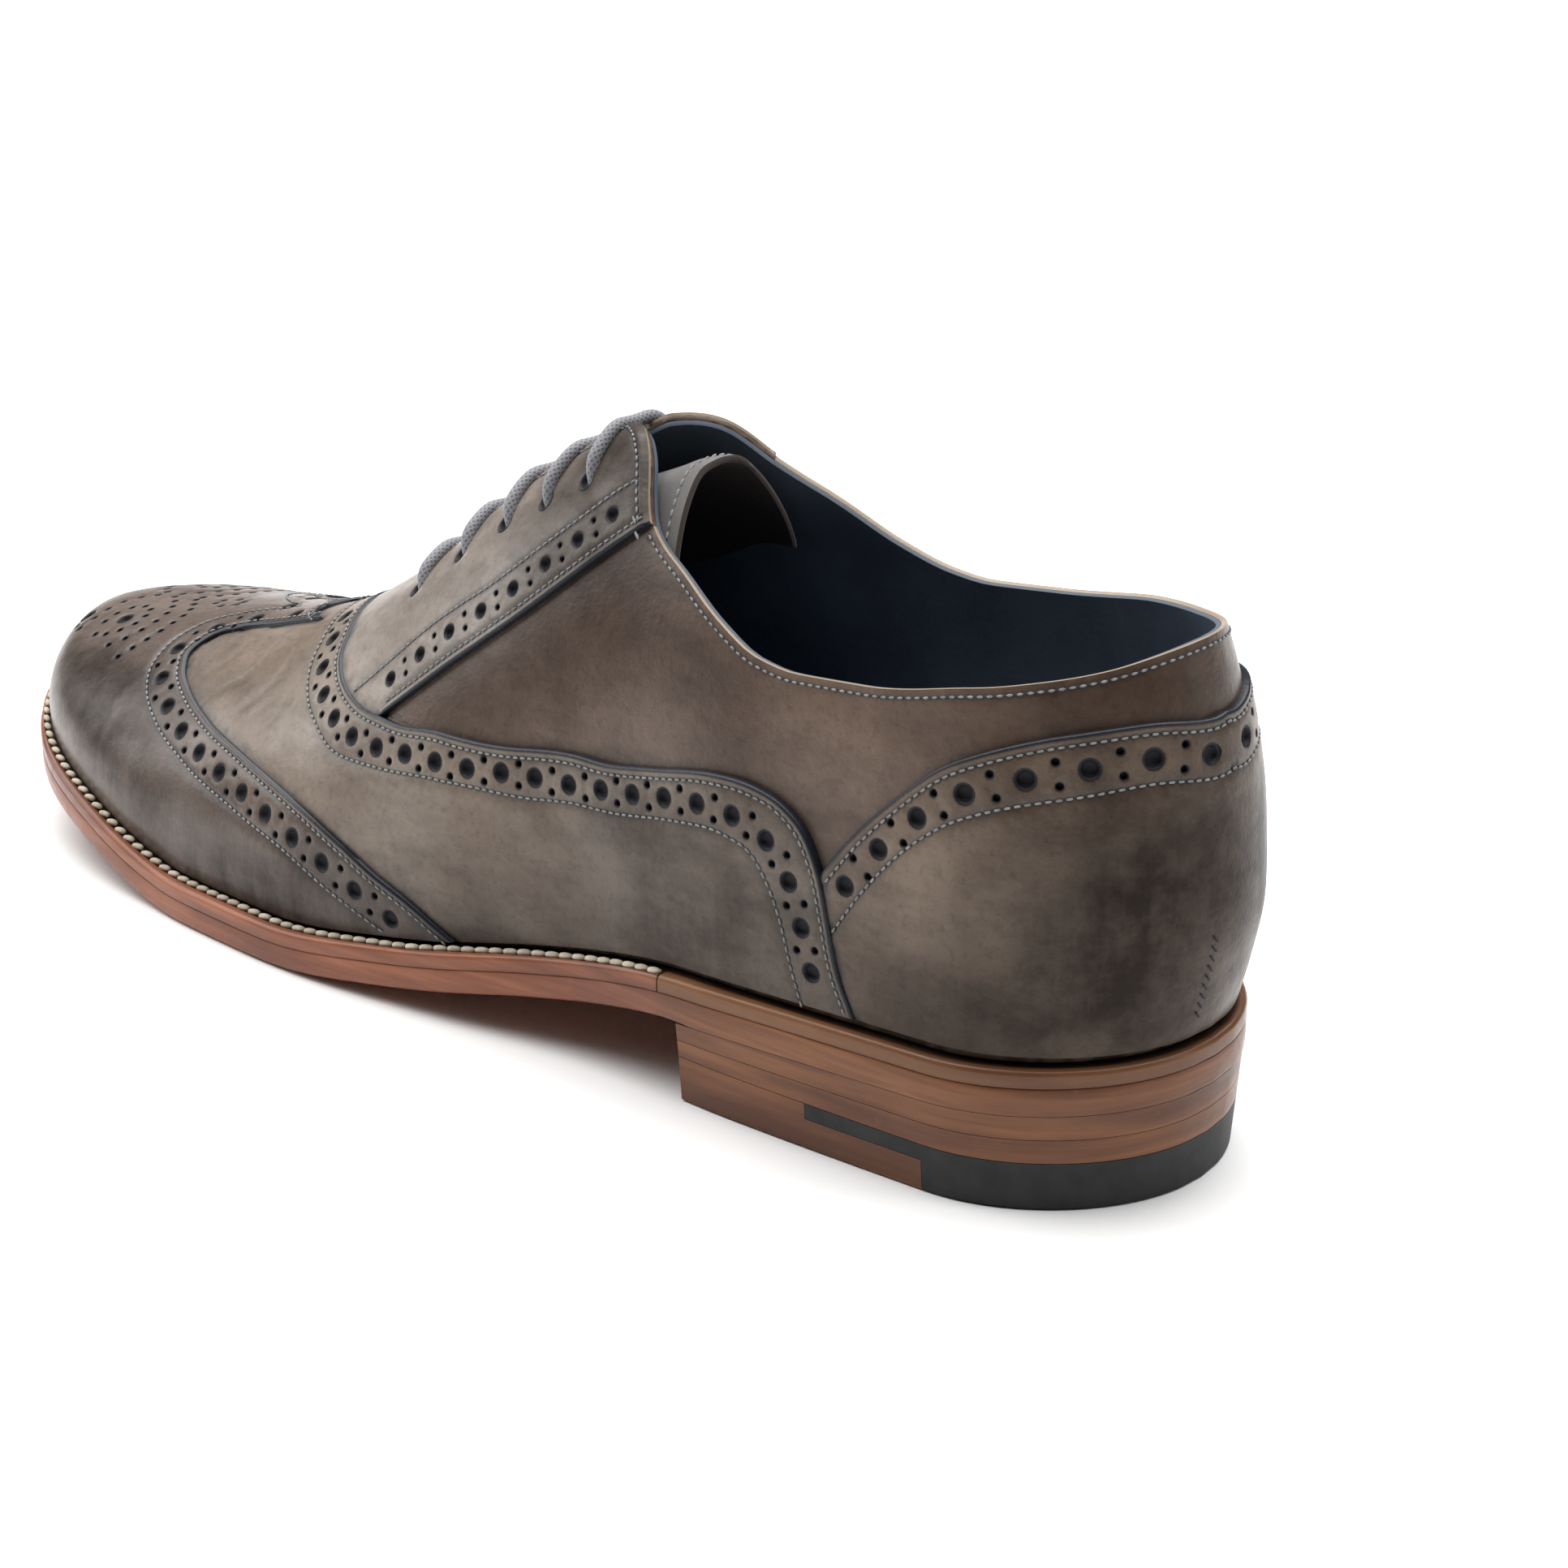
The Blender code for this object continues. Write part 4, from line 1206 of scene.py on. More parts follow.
@dataclass
class Panel:
    """A leather panel laid on the upper, drawn on half the foot with its rows, holes and rolled edges.

    Lines run with the panel on their left, as seen from outside the lateral side.
    """

    name: str
    rise: float
    outline: list[Array]
    rolled: list[Array]
    rows: list[Array] = field(default_factory=list)
    holes: list[Hole] = field(default_factory=list)
    tucked: list[Array] = field(default_factory=list)
    raw: list[Array] = field(default_factory=list)
    creases: list[Array] = field(default_factory=list)
    sides: tuple[Side, ...] = BOTH
    lattice: float = 1.7
    roll: float = 0.5
    ink_width: float = 0.75
    bead: float = 0.08
    groove: float = 0.26
    groove_width: float = 0.42
    tuck: float = 0.3
    skive: float = 0.75
    hole_dip: float = 0.14
    crease: float = 0.2
    crease_fade: float = 6.0
    # Rule for polish and painted shade over the panel.
    burnish: Callable[[Array, Array], Array] = lambda s, t: 0.0 * s

    def flat_mesh(self) -> tuple[Array, Array]:
        """Triangles of half the panel, with its holes cut out.

        Returns:
            Places of the points, and corners of the triangles.
        """
        loop = np.concatenate([piece[:-1] for piece in self.outline])
        border = LAST.chart(loop)
        points = [border]
        edges = [(i, (i + 1) % len(border)) for i in range(len(border))]
        count = len(border)
        followed = (
            (self.rolled, [share * self.roll for share in (0.22, 0.6, 1.1, 1.9)]),
            (self.rows, (-0.5, 0.0, 0.5)),
            (self.creases, (-2.0, -1.0, 0.0, 1.0, 2.0)), (self.raw, (0.9,)),
        )
        drawn = []
        for lines, insets in followed:
            drawn += [(LAST.shifted(line, inset), False) for line in lines for inset in insets]
        for hole in self.holes:
            for beyond in (0.0, 0.4):
                ring = LAST.ring(hole[:2], self.cut_radius(hole) + beyond, hole_sides(hole.radius))
                drawn.append((ring, True))
        for places, closed in drawn:
            points.append(LAST.chart(places))
            last = count + len(places) - 1
            edges.extend((i, i + 1) for i in range(count, last))
            if closed:
                edges.append((last, count))
            count = last + 1
        points.append(self.fill(border, np.concatenate(points)))
        flat = np.concatenate(points)
        result = delaunay_2d_cdt([Vector(p) for p in flat], edges, [], 0, 1e-5, False)
        verts = np.array([tuple(v) for v in result[0]])
        faces = np.array([f for f in result[2] if len(f) == 3])
        middle = verts[faces].mean(axis=1)
        keep = self.inside(middle, border)
        for hole in self.holes:
            ring = LAST.chart(LAST.ring(hole[:2], self.cut_radius(hole), 16))
            keep &= ~self.inside(middle, ring)
        return LAST.unchart(verts), faces[keep]

    @staticmethod
    def cut_radius(hole: Hole) -> float:
        """Radius cut from the panel, just inside the lip of the punched hole."""
        return 1.24 * hole.radius

    @staticmethod
    def inside(spots: Array, border: Array) -> Array:
        """Which spots lie inside a closed border.

        Args:
            spots: Points of the flat map.
            border: Corners of the border.

        Returns:
            True for each spot inside.
        """
        result = np.zeros(len(spots), dtype=bool)
        following = np.roll(border, -1, axis=0)
        for (ax, ay), (bx, by) in zip(border, following):
            if ay == by:
                continue
            crosses = (ay > spots[:, 1]) != (by > spots[:, 1])
            result ^= crosses & (spots[:, 0] < (bx - ax) * (spots[:, 1] - ay) / (by - ay) + ax)
        return result

    def fill(self, border: Array, taken: Array) -> Array:
        """Lattice points inside the border, clear of the lines already drawn.

        Args:
            border: Outline on the flat map.
            taken: Points already drawn.

        Returns:
            The lattice points.
        """
        low = border.min(axis=0)
        high = border.max(axis=0)
        xs = np.arange(low[0], high[0], self.lattice)
        ys = np.arange(low[1] + 0.37 * self.lattice, high[1], 0.87 * self.lattice)
        gx, gy = np.meshgrid(xs, ys)
        gx = gx + 0.5 * self.lattice * (np.arange(len(ys)) % 2)[:, None]
        spots = np.column_stack([gx.ravel(), gy.ravel()])
        spots = spots[self.inside(spots, border)]
        near = KDTree(len(taken))
        for i, spot in enumerate(taken):
            near.insert((*spot, 0.0), i)
        near.balance()
        clear = [near.find((*spot, 0.0))[2] > 0.5 * self.lattice for spot in spots]
        return spots[np.array(clear, dtype=bool)]

    @staticmethod
    def distance(points: Array, lines: Sequence[Array]) -> Array:
        """Distance over the form from points to the nearest of some lines.

        Args:
            points: Points on the form.
            lines: Lines on the upper.

        Returns:
            One distance for each point.
        """
        if not lines:
            return np.full(len(points), 1e3)
        dense = np.concatenate([LAST.evened(line, 0.2) for line in lines])
        spots = LAST.point(dense[:, 0], dense[:, 1], Side.LATERAL)
        tree = KDTree(len(spots))
        for i, spot in enumerate(spots):
            tree.insert(spot, i)
        tree.balance()
        return np.array([tree.find(p)[2] for p in points])

    def build(self, finish: Material, work: Needlework, thread: str) -> Piece:
        """Make the panel and hand its rows and holes to the needlework.

        Args:
            finish: Leather of the panel.
            work: Gatherer of rows and holes.
            thread: Group of the stitch rows.

        Returns:
            The panel.
        """
        places, faces = self.flat_mesh()
        s, t = np.clip(places[:, 0], 0.0, LAST.length), np.clip(places[:, 1], 0.0, 1.0)
        base = LAST.point(s, t, Side.LATERAL)
        to_edge = self.distance(base, self.rolled)
        to_row = self.distance(base, self.rows)
        to_tuck = self.distance(base, self.tucked)
        roll = np.clip(1.0 - to_edge / self.roll, 0.0, 1.0)
        height = self.rise - self.roll * (1.0 - np.sqrt(np.maximum(0.0, 1.0 - roll ** 2)))
        height += self.bead * bell(to_edge - 1.2 * self.roll, 0.7 * self.roll)
        height -= self.groove * bell(to_row, self.groove_width)
        height -= self.tuck * bell(to_tuck, 1.0)
        to_raw = self.distance(base, self.raw)
        height -= self.skive * bell(to_raw, 1.1)
        for line in self.creases:
            away = self.distance(base, [line])
            ends = np.minimum(self.distance(base, [line[:2]]), self.distance(base, [line[-2:]]))
            deep = self.crease * ramp(ends, 0.0, self.crease_fade)
            height += deep * (0.5 * bell(away - 2.2, 1.3) - bell(away, 1.0))
        ink = 1.0 - ramp(to_edge, 0.55 * self.ink_width, 1.35 * self.ink_width)
        # Painted shade in the stitch groove.
        ink = np.maximum(ink, 0.85 * bell(to_row, self.groove_width))
        # Painted shadow on the lower panel along the edge of the panel that overlaps it.
        ink = np.maximum(ink, 0.9 * bell(to_tuck, 0.7))
        for hole in self.holes:
            spot = LAST.point(hole.station, hole.height, Side.LATERAL)
            gap = np.maximum(np.linalg.norm(base - spot, axis=1) - self.cut_radius(hole), 0.0)
            height -= self.hole_dip * bell(gap, 0.3)
            ink = np.maximum(ink, 0.7 * bell(gap, 0.22))
        raw = to_raw < 0.16
        obj = self.raise_halves((s, t), faces, height, ink, raw, finish)
        for row in self.rows:
            work.sew_line(thread, row, self.rise - 0.05, self.sides)
        for hole in self.holes:
            work.punch_at(hole, self.rise - 0.1, self.sides)
        return obj

    def raise_halves(self, places_st: tuple[Array, Array], faces: Array, height: Array, ink: Array,
                     raw: Array, finish: Material) -> Piece:
        """Set the flat triangles on each side of the foot, with rims down to the upper.

        Args:
            places_st: Stations and heights of the points.
            faces: Corners of the triangles.
            height: How far each point stands off the upper.
            ink: Edge ink and painted shade on each point.
            raw: Which points lie on a raw edge.
            finish: Leather of the panel.

        Returns:
            The panel.
        """
        s, t = places_st
        pairs = np.concatenate([faces[:, [0, 1]], faces[:, [1, 2]], faces[:, [2, 0]]])
        keys, counts = np.unique(np.sort(pairs, axis=1), axis=0, return_counts=True)
        rim = keys[counts == 1]
        joined = [(s < 1e-4), (s > LAST.length - 1e-4), (t > 1.0 - 1e-5)]
        for line in joined:
            rim = rim[~(line[rim[:, 0]] & line[rim[:, 1]])]
        ids = np.unique(rim)
        lower = np.full(len(s), -1)
        lower[ids] = len(s) + np.arange(len(ids))
        walls = np.column_stack([rim[:, 0], rim[:, 1], lower[rim[:, 1]], lower[rim[:, 0]]])
        points, corners, count = [], [], 0
        for side in self.sides:
            top = LAST.over(s, t, side, height)
            foot = LAST.over(s[ids], t[ids], side, np.full(len(ids), -0.15))
            tri = top[faces]
            facing = np.cross(tri[:, 1] - tri[:, 0], tri[:, 2] - tri[:, 0])
            out = LAST.normal(s[faces[:, 0]], t[faces[:, 0]], side)
            turned = np.where(((facing * out).sum(1) > 0.0)[:, None], faces, faces[:, ::-1])
            points.append(np.concatenate([top, foot]))
            corners.extend((turned + count).tolist())
            corners.extend((walls + count).tolist())
            count += len(top) + len(foot)
        each = len(self.sides)
        raw_faces = np.concatenate([np.zeros(len(faces)), (raw[rim[:, 0]] & raw[rim[:, 1]]).astype(float)])
        # Polish and painted shade for each point, rim feet included.
        polish_and_shade_level = self.burnish(np.concatenate([s, s[ids]]), np.concatenate([t, t[ids]]))
        obj = place_mesh(self.name, np.concatenate(points), corners, finish,
                         ink=np.tile(np.concatenate([ink, np.ones(len(ids))]), each),
                         raw=np.tile(raw_faces, each), burnish=np.tile(polish_and_shade_level, each))
        loose = bmesh.new()
        loose.from_mesh(obj.data)
        bmesh.ops.delete(loose, geom=[v for v in loose.verts if not v.link_faces], context="VERTS")
        loose.to_mesh(obj.data)
        loose.free()
        return turned_out(obj, 48.0)


def spaced_holes(line: Array, pitch: float, radius: float, small: float, aside: float,
                 start: float = 0.5) -> list[Hole]:
    """Large holes along a line, with a pair of small ones across the line between each two.

    Args:
        line: Middle line of the band.
        pitch: Spacing of the large holes.
        radius: Radius of the large holes.
        small: Radius of the small holes.
        aside: Distance of the small holes from the line.
        start: Place of the first large hole, in pitches.

    Returns:
        The holes.
    """
    even = LAST.evened(line, 0.25)
    steps = (len(even) - 1) * 0.25 / pitch
    number = int(steps - 2.0 * start) + 1
    stretch = (len(even) - 1) / (number - 1 + 2.0 * start)
    holes = []
    for i in range(number):
        s, t = even[round((i + start) * stretch)]
        holes.append(Hole(s, t, radius))
        if i < number - 1:
            at = round((i + start + 0.5) * stretch)
            for sign in (-1.0, 1.0):
                s, t = LAST.shifted(even[at - 2:at + 3], sign * aside)[2]
                holes.append(Hole(s, t, small))
    return holes


@dataclass
class Uppers:
    """The upper with its lining, the panels on it, and their rows and holes."""

    quarter_wall: float = 1.0
    lining_wall: float = 0.92
    slot_half: float = 3.0
    slot_taper: float = 14.0
    throat_end: float = 182.0
    facing_end: float = 127.0
    wing_rise: float = 2.25
    vamp_rise: float = 1.5
    stay_rise: float = 1.3
    counter_rise: float = 1.3
    foot: float = 0.012
    large: float = 1.42
    small: float = 0.57
    stay_large: float = 1.18
    stay_small: float = 0.46
    edge_inset: float = 1.75
    collar_inset: float = 1.35
    pair_aside: float = 1.95
    stay_aside: float = 1.45
    wing_pitch: float = 8.7
    vamp_pitch: float = 7.9
    counter_pitch: float = 9.3
    stay_pitch: float = 8.0
    lone_holes: tuple[Place, ...] = ((217.8, 0.918), (226.2, 1.0))
    ornament_hearts: tuple[Place, ...] = ((266.2, 0.74), (281.0, 0.645))
    ornament_gap: float = 1.3
    collar: tuple[Collar, ...] = (
        Collar(0.0, 0.597, 0.597), Collar(9.0, 0.545, 0.55), Collar(18.0, 0.508, 0.515),
        Collar(29.0, 0.475, 0.49), Collar(51.0, 0.44, 0.462), Collar(65.0, 0.438, 0.458),
        Collar(74.0, 0.45, 0.472), Collar(84.0, 0.492, 0.515), Collar(95.0, 0.56, 0.6),
        Collar(106.0, 0.64, 0.7), Collar(114.0, 0.795, 0.83), Collar(121.0, 0.905, 0.91),
        Collar(125.5, 0.96, 0.962), Collar(130.0, 1.0, 1.0),
    )
    wing_edge: tuple[Place, ...] = (
        (140.0, 0.014), (148.6, 0.078), (157.5, 0.135), (166.5, 0.202), (177.0, 0.275), (189.5, 0.345),
        (203.2, 0.415), (216.2, 0.482), (225.8, 0.545), (233.0, 0.62), (235.9, 0.692), (235.0, 0.762),
        (229.5, 0.826), (219.0, 0.862), (206.0, 0.872),
    )
    wing_notch: tuple[Place, ...] = ((206.0, 0.872), (210.0, 0.91), (212.4, 0.955), (213.0, 1.0))
    wing_row: tuple[Place, ...] = (
        (157.0, 0.025), (166.2, 0.085), (180.2, 0.18), (197.2, 0.255), (217.5, 0.345), (230.5, 0.418),
        (238.5, 0.5), (242.8, 0.595), (244.0, 0.7), (242.2, 0.822), (236.5, 0.902), (229.0, 0.962),
    )
    notch_row: tuple[Place, ...] = ((229.0, 0.962), (224.6, 0.98), (223.4, 1.0))
    vamp_edge: tuple[Place, ...] = (
        (47.9, 0.012), (51.5, 0.068), (53.8, 0.132), (55.8, 0.185), (59.0, 0.231), (64.0, 0.262),
        (70.8, 0.279), (79.5, 0.284), (95.2, 0.28), (106.8, 0.285), (125.2, 0.312), (145.5, 0.366),
        (156.2, 0.398), (162.5, 0.43), (169.5, 0.473), (175.0, 0.52), (181.5, 0.595), (184.8, 0.65),
        (187.4, 0.72), (192.0, 0.845), (195.0, 1.0),
    )
    vamp_row: tuple[Place, ...] = (
        (59.2, 0.012), (61.2, 0.055), (63.8, 0.118), (66.5, 0.158), (70.0, 0.19), (76.0, 0.207),
        (87.8, 0.212), (105.2, 0.218), (121.0, 0.235), (138.8, 0.275), (153.5, 0.31), (165.0, 0.35),
        (174.0, 0.395), (180.2, 0.45), (189.0, 0.552), (194.0, 0.648), (197.0, 0.745), (200.5, 0.86),
        (203.0, 1.0),
    )
    counter_edge: tuple[Place, ...] = (
        (0.0, 0.4645), (4.8, 0.4665), (14.5, 0.438), (27.8, 0.385), (35.2, 0.348), (42.5, 0.298),
        (50.2, 0.238), (55.6, 0.187),
    )
    counter_row: tuple[Place, ...] = (
        (0.0, 0.3755), (5.0, 0.3765), (14.2, 0.35), (26.0, 0.312), (33.0, 0.28), (40.5, 0.232),
        (48.2, 0.165), (52.6, 0.118),
    )
    stay_row: tuple[Place, ...] = (
        (173.5, 0.52), (159.8, 0.572), (144.5, 0.603), (134.0, 0.635), (123.8, 0.67), (113.4, 0.722),
    )
    # Darker patches, each partly real burnish and partly painted shade.
    patches: tuple[Patch, ...] = (
        Patch(255.0, 0.42, 22.0, 0.22, 0.92), Patch(242.0, 0.33, 15.0, 0.14, 0.5),
        Patch(284.0, 0.55, 12.0, 0.4, 0.5),
        Patch(232.0, 0.21, 20.0, 0.12, 0.66), Patch(190.0, 0.08, 34.0, 0.11, 0.8),
        Patch(4.0, 0.23, 14.0, 0.15, 0.97), Patch(11.0, 0.13, 14.0, 0.08, 0.7),
        Patch(98.0, 0.46, 22.0, 0.11, 0.55), Patch(140.0, 0.4, 24.0, 0.06, 0.3),
        Patch(80.0, 0.09, 36.0, 0.1, 0.62), Patch(206.0, 0.62, 16.0, 0.14, 0.3),
        Patch(8.0, 0.52, 30.0, 0.06, 0.35), Patch(112.0, 0.8, 14.0, 0.24, 0.84),
        Patch(128.0, 0.74, 17.0, 0.28, 0.76), Patch(4.0, 0.05, 40.0, 0.06, 0.45),
        Patch(30.0, 0.1, 16.0, 0.08, 0.35), Patch(98.0, 0.21, 18.0, 0.07, 0.52),
        Patch(262.0, 0.72, 16.0, 0.2, 0.35),
    )
    ornament_lines: tuple[tuple[Place, ...], ...] = (
        ((255.0, 0.56), (252.6, 0.66), (251.6, 0.765), (252.6, 0.87), (255.8, 0.945), (258.0, 0.985)),
        ((261.2, 0.585), (258.2, 0.66), (256.8, 0.758), (257.6, 0.84), (260.6, 0.915), (265.0, 0.98)),
        ((269.0, 0.595), (264.2, 0.648), (261.4, 0.735), (262.4, 0.815), (265.8, 0.855), (269.4, 0.83),
         (271.2, 0.765), (271.2, 0.68)),
        ((251.0, 0.982), (246.5, 0.962), (243.6, 0.985)),
        ((270.5, 0.975), (274.5, 0.9), (276.5, 0.8), (276.5, 0.7), (276.8, 0.6), (280.5, 0.545)),
    )
    ornament_pitch: float = 3.5
    vamp_creases: tuple[tuple[Place, ...], ...] = (
        ((211.0, 0.5), (203.0, 0.6), (203.5, 0.72), (208.0, 0.8)),
        ((222.0, 0.56), (213.0, 0.64), (212.0, 0.74), (214.5, 0.83)),
        ((203.0, 0.445), (195.5, 0.51), (196.5, 0.58)),
        ((228.0, 0.62), (222.5, 0.69), (222.0, 0.77)),
    )
    stay_edge: tuple[Place, ...] = (
        (163.2, 0.432), (150.8, 0.47), (140.0, 0.503), (129.8, 0.532), (119.8, 0.57), (113.2, 0.602),
    )
    inner_seams: tuple[float, ...] = (45.5, 48.2)
    tack: tuple[Place, ...] = ((107.6, 0.618), (109.4, 0.645))
    tack_step: Place = (0.55, 0.004)
    back_row: tuple[Place, ...] = ((0.5, 0.045), (0.5, 0.09), (0.5, 0.15))
    facing_rear: float = 106.3
    raw_end: float = 106.0
    near_ridge: float = 0.9995
    eyelet_stations: tuple[float, ...] = (170.5, 158.5, 147.0, 136.5, 126.5)
    eyelet_height: float = 0.758
    eyelet_radius: float = 1.55

    def collar_at(self, station: Array, side: Side) -> Array:
        """Height of the collar and facing end."""
        xs = np.array([row.station for row in self.collar])
        return smooth_curve(xs, np.array([getattr(row, side.name.lower()) for row in self.collar]), station)

    def top_at(self, station: Array, side: Side) -> Array:
        """Top edge of the upper: collar, facing corner, lacing gap, then the closed ridge.

        Args:
            station: Distances from the heel.
            side: Side of the foot.

        Returns:
            Heights of the edge.
        """
        half = self.slot_half * np.clip((self.throat_end - station) / self.slot_taper, 0.0, 1.0)
        slot = LAST.beside_ridge(station, np.maximum(half, 0.0), side)
        collar = self.collar_at(station, side)
        edge = np.where(station > 100.0, np.minimum(slot, collar), collar)
        return np.where(station >= self.throat_end, 1.0, edge)

    def burnish(self, s: Array, t: Array) -> Array:
        """How dark the leather is, from listed patches that are partly real burnish and partly painted shade,
        and from painted shade along the welt.

        Args:
            s: Distances from the heel.
            t: Heights on the form.

        Returns:
            Polish and painted shade from 0 to 1.
        """
        # Painted shade: darker towards the welt.
        clear = 1.0 - 0.5 * (1.0 - ramp(t, 0.0, 0.16))
        # Patches: partly real burnish, partly painted shade.
        for patch in self.patches:
            away = ((s - patch.station) / patch.length) ** 2 + ((t - patch.height) / patch.width) ** 2
            clear = clear * (1.0 - patch.depth * np.exp(-away))
        return 1.0 - clear

    def stations(self) -> Array:
        """Stations of the wall, fine enough for the collar's corners.

        Returns:
            The stations.
        """
        corners = [self.throat_end - self.slot_taper, self.throat_end]
        keys = np.concatenate([np.arange(100.0, 134.0, 1.0), corners])
        spread = LAST.spread(150)
        clear = [s for s in spread if np.abs(keys - s).min() > 0.5]
        return np.sort(np.concatenate([clear, keys]))

    def wall(self, name: str, finish: Material, outer: float, inner: float, rows: int,
             lip: float) -> Piece:
        """Closed wall of the upper between two depths.

        Args:
            name: Name of the piece.
            finish: Its material.
            outer: Height of the outer face over the form.
            inner: Height of the inner face.
            rows: Number of rows from welt to top.
            lip: How far the rim bulges beyond the edge.

        Returns:
            The wall.
        """
        sheet = Sheet()
        stations = self.stations()
        burnish: list[Array] = []
        for side in BOTH:
            part = np.linspace(0.0, 1.0, rows + 1) ** 0.9
            heights = np.outer(self.top_at(stations, side), part)
            s = np.broadcast_to(stations[:, None], heights.shape)
            faces = [LAST.over(s, heights, side, np.full(s.shape, rise)) for rise in (outer, inner)]
            flip = side is Side.LATERAL
            sheet.grid(faces[0], flip)
            sheet.grid(faces[1], not flip)
            polish_and_shade_rim: list[Array] = []
            bulge = LAST.slopes(stations, heights[:, -1], side)[1]
            bulge *= lip / np.linalg.norm(bulge, axis=-1, keepdims=True)
            bulge[heights[:, -1] > 1.0 - 1e-6] = 0.0
            middle = (faces[0][:, -1] + faces[1][:, -1]) / 2.0 + bulge
            rim = np.stack([faces[0][:, -1], middle, faces[1][:, -1]], axis=1)
            gap = (stations >= self.raw_end) & (stations <= self.throat_end)
            for span, mark in ((stations <= self.raw_end, 1.0), (gap, 0.0)):
                sheet.grid(rim[span], flip, mark)
                polish_and_shade_rim.append(np.zeros(3 * span.sum()))
            sheet.grid(np.stack([faces[1][:, 0], faces[0][:, 0]], axis=1), flip)
            # Polish and painted shade on both faces; none on the rims and the foot.
            burnish += [self.burnish(s, heights).ravel()] * 2 + polish_and_shade_rim + [np.zeros(2 * len(stations))]
        obj = place_mesh(name, np.concatenate(sheet.points), sheet.faces, finish, raw=np.array(sheet.marks),
                         burnish=np.concatenate(burnish))
        return turned_out(obj, 50.0)

    def wing(self) -> Panel:
        """Wing-shaped toe cap with its fishtail, band of holes and toe ornament.

        Returns:
            The panel.
        """
        edge = LAST.line(self.wing_edge)
        notch = LAST.line(self.wing_notch)
        row = LAST.line(self.wing_row)
        notch_row = LAST.line(self.notch_row)
        line = LAST.spread(150, self.wing_edge[0][0])[::-1]
        foot = np.column_stack([line, np.full(len(line), self.wing_edge[0][1])])
        ridge = LAST.line((self.wing_notch[-1], (250.0, 1.0), (LAST.length, 1.0)))
        tip = np.column_stack([np.full(9, LAST.length), np.linspace(1.0, self.wing_edge[0][1], 9)])
        edge_row = LAST.shifted(edge, self.edge_inset)
        notch_edge_row = LAST.shifted(notch, self.edge_inset)[2:]
        band = self.between(edge_row, row, min(len(edge), len(row)))
        holes = spaced_holes(band[3:-10], self.wing_pitch, self.large, self.small, self.pair_aside, 0.4)
        holes += [Hole(*place, self.large) for place in self.lone_holes]
        return Panel("toe_cap_panel", self.wing_rise, [edge, notch, ridge, tip, foot], [edge, notch],
                     [edge_row[2:-3], notch_edge_row, row, notch_row], holes + self.ornament(),
                     burnish=self.burnish, roll=0.6)

    @staticmethod
    def between(first: Array, second: Array, count: int) -> Array:
        """Middle line of two lines.

        Args:
            first: One line.
            second: The other line.
            count: Number of places.

        Returns:
            Places along the middle.
        """
        share = np.linspace(0.0, 1.0, count)
        picked = []
        for line in (first, second):
            at = np.linspace(0.0, 1.0, len(line))
            picked.append(np.column_stack([np.interp(share, at, line[:, k]) for k in range(2)]))
        return (picked[0] + picked[1]) / 2.0

    def ornament(self) -> list[Hole]:
        """Toe ornament: rows of small holes curling round a few large ones.

        Returns:
            The holes.
        """
        holes = [Hole(*place, self.large) for place in self.ornament_hearts]
        for spray in self.ornament_lines:
            for s, t in LAST.line(spray, self.ornament_pitch):
                spot = LAST.point(s, t, Side.LATERAL)
                clear = [np.linalg.norm(spot - LAST.point(h.station, h.height, Side.LATERAL)) for h in holes]
                if min(gap - h.radius for gap, h in zip(clear, holes)) > self.ornament_gap:
                    holes.append(Hole(s, t, self.small))
        return holes

    def vamp(self) -> Panel:
        """Vamp whose perforated edge sweeps back along the foot.

        Returns:
            The panel.
        """
        edge = LAST.line(self.vamp_edge)
        row = LAST.line(self.vamp_row)
        tuck = [LAST.line(self.wing_notch)[::-1], LAST.line(self.wing_edge)[::-1]]
        front = [LAST.shifted(line, -0.6) for line in tuck]
        front[0][0, 1] = 1.0
        ridge = LAST.line((self.vamp_edge[-1], (204.0, 1.0), tuple(front[0][0])))
        front[1][-1] = (self.wing_edge[0][0], self.foot)
        line = np.linspace(front[1][-1, 0], self.vamp_edge[0][0], 120)
        foot = np.column_stack([line, np.full(len(line), self.foot)])
        edge_row = LAST.shifted(edge, self.edge_inset)
        band = self.between(edge_row, row, len(edge))
        holes = spaced_holes(band[3:-6], self.vamp_pitch, self.large, self.small, self.pair_aside, 0.6)
        return Panel("vamp_panel", self.vamp_rise, [edge, ridge, front[0], front[1], foot], [edge],
                     [edge_row[2:], row], holes, tucked=tuck, burnish=self.burnish,
                     creases=[LAST.line(crease) for crease in self.vamp_creases])

    def counter(self) -> Panel:
        """Heel counter with a perforated top band.

        Returns:
            The panel.
        """
        edge = LAST.line(self.counter_edge)
        row = LAST.line(self.counter_row)
        seam = LAST.line(self.vamp_edge)
        seam = seam[seam[:, 1] < self.counter_edge[-1][1]][::-1]
        front = np.concatenate([edge[-1:], LAST.shifted(seam, -0.5)])
        front[-1, 1] = self.foot
        line = LAST.spread(150, 0.0, front[-1, 0])[::-1]
        foot = np.column_stack([line, np.full(len(line), self.foot)])
        back = np.column_stack([np.zeros(30), np.linspace(self.foot, self.counter_edge[0][1], 30)])
        edge_row = LAST.shifted(edge, self.edge_inset)
        band = self.between(edge_row, row, len(edge))
        holes = spaced_holes(band, self.counter_pitch, self.large, self.small, self.pair_aside)
        return Panel("heel_counter_panel", self.counter_rise, [edge, front, foot, back], [edge],
                     [edge_row, row], holes, tucked=[seam], burnish=self.burnish)

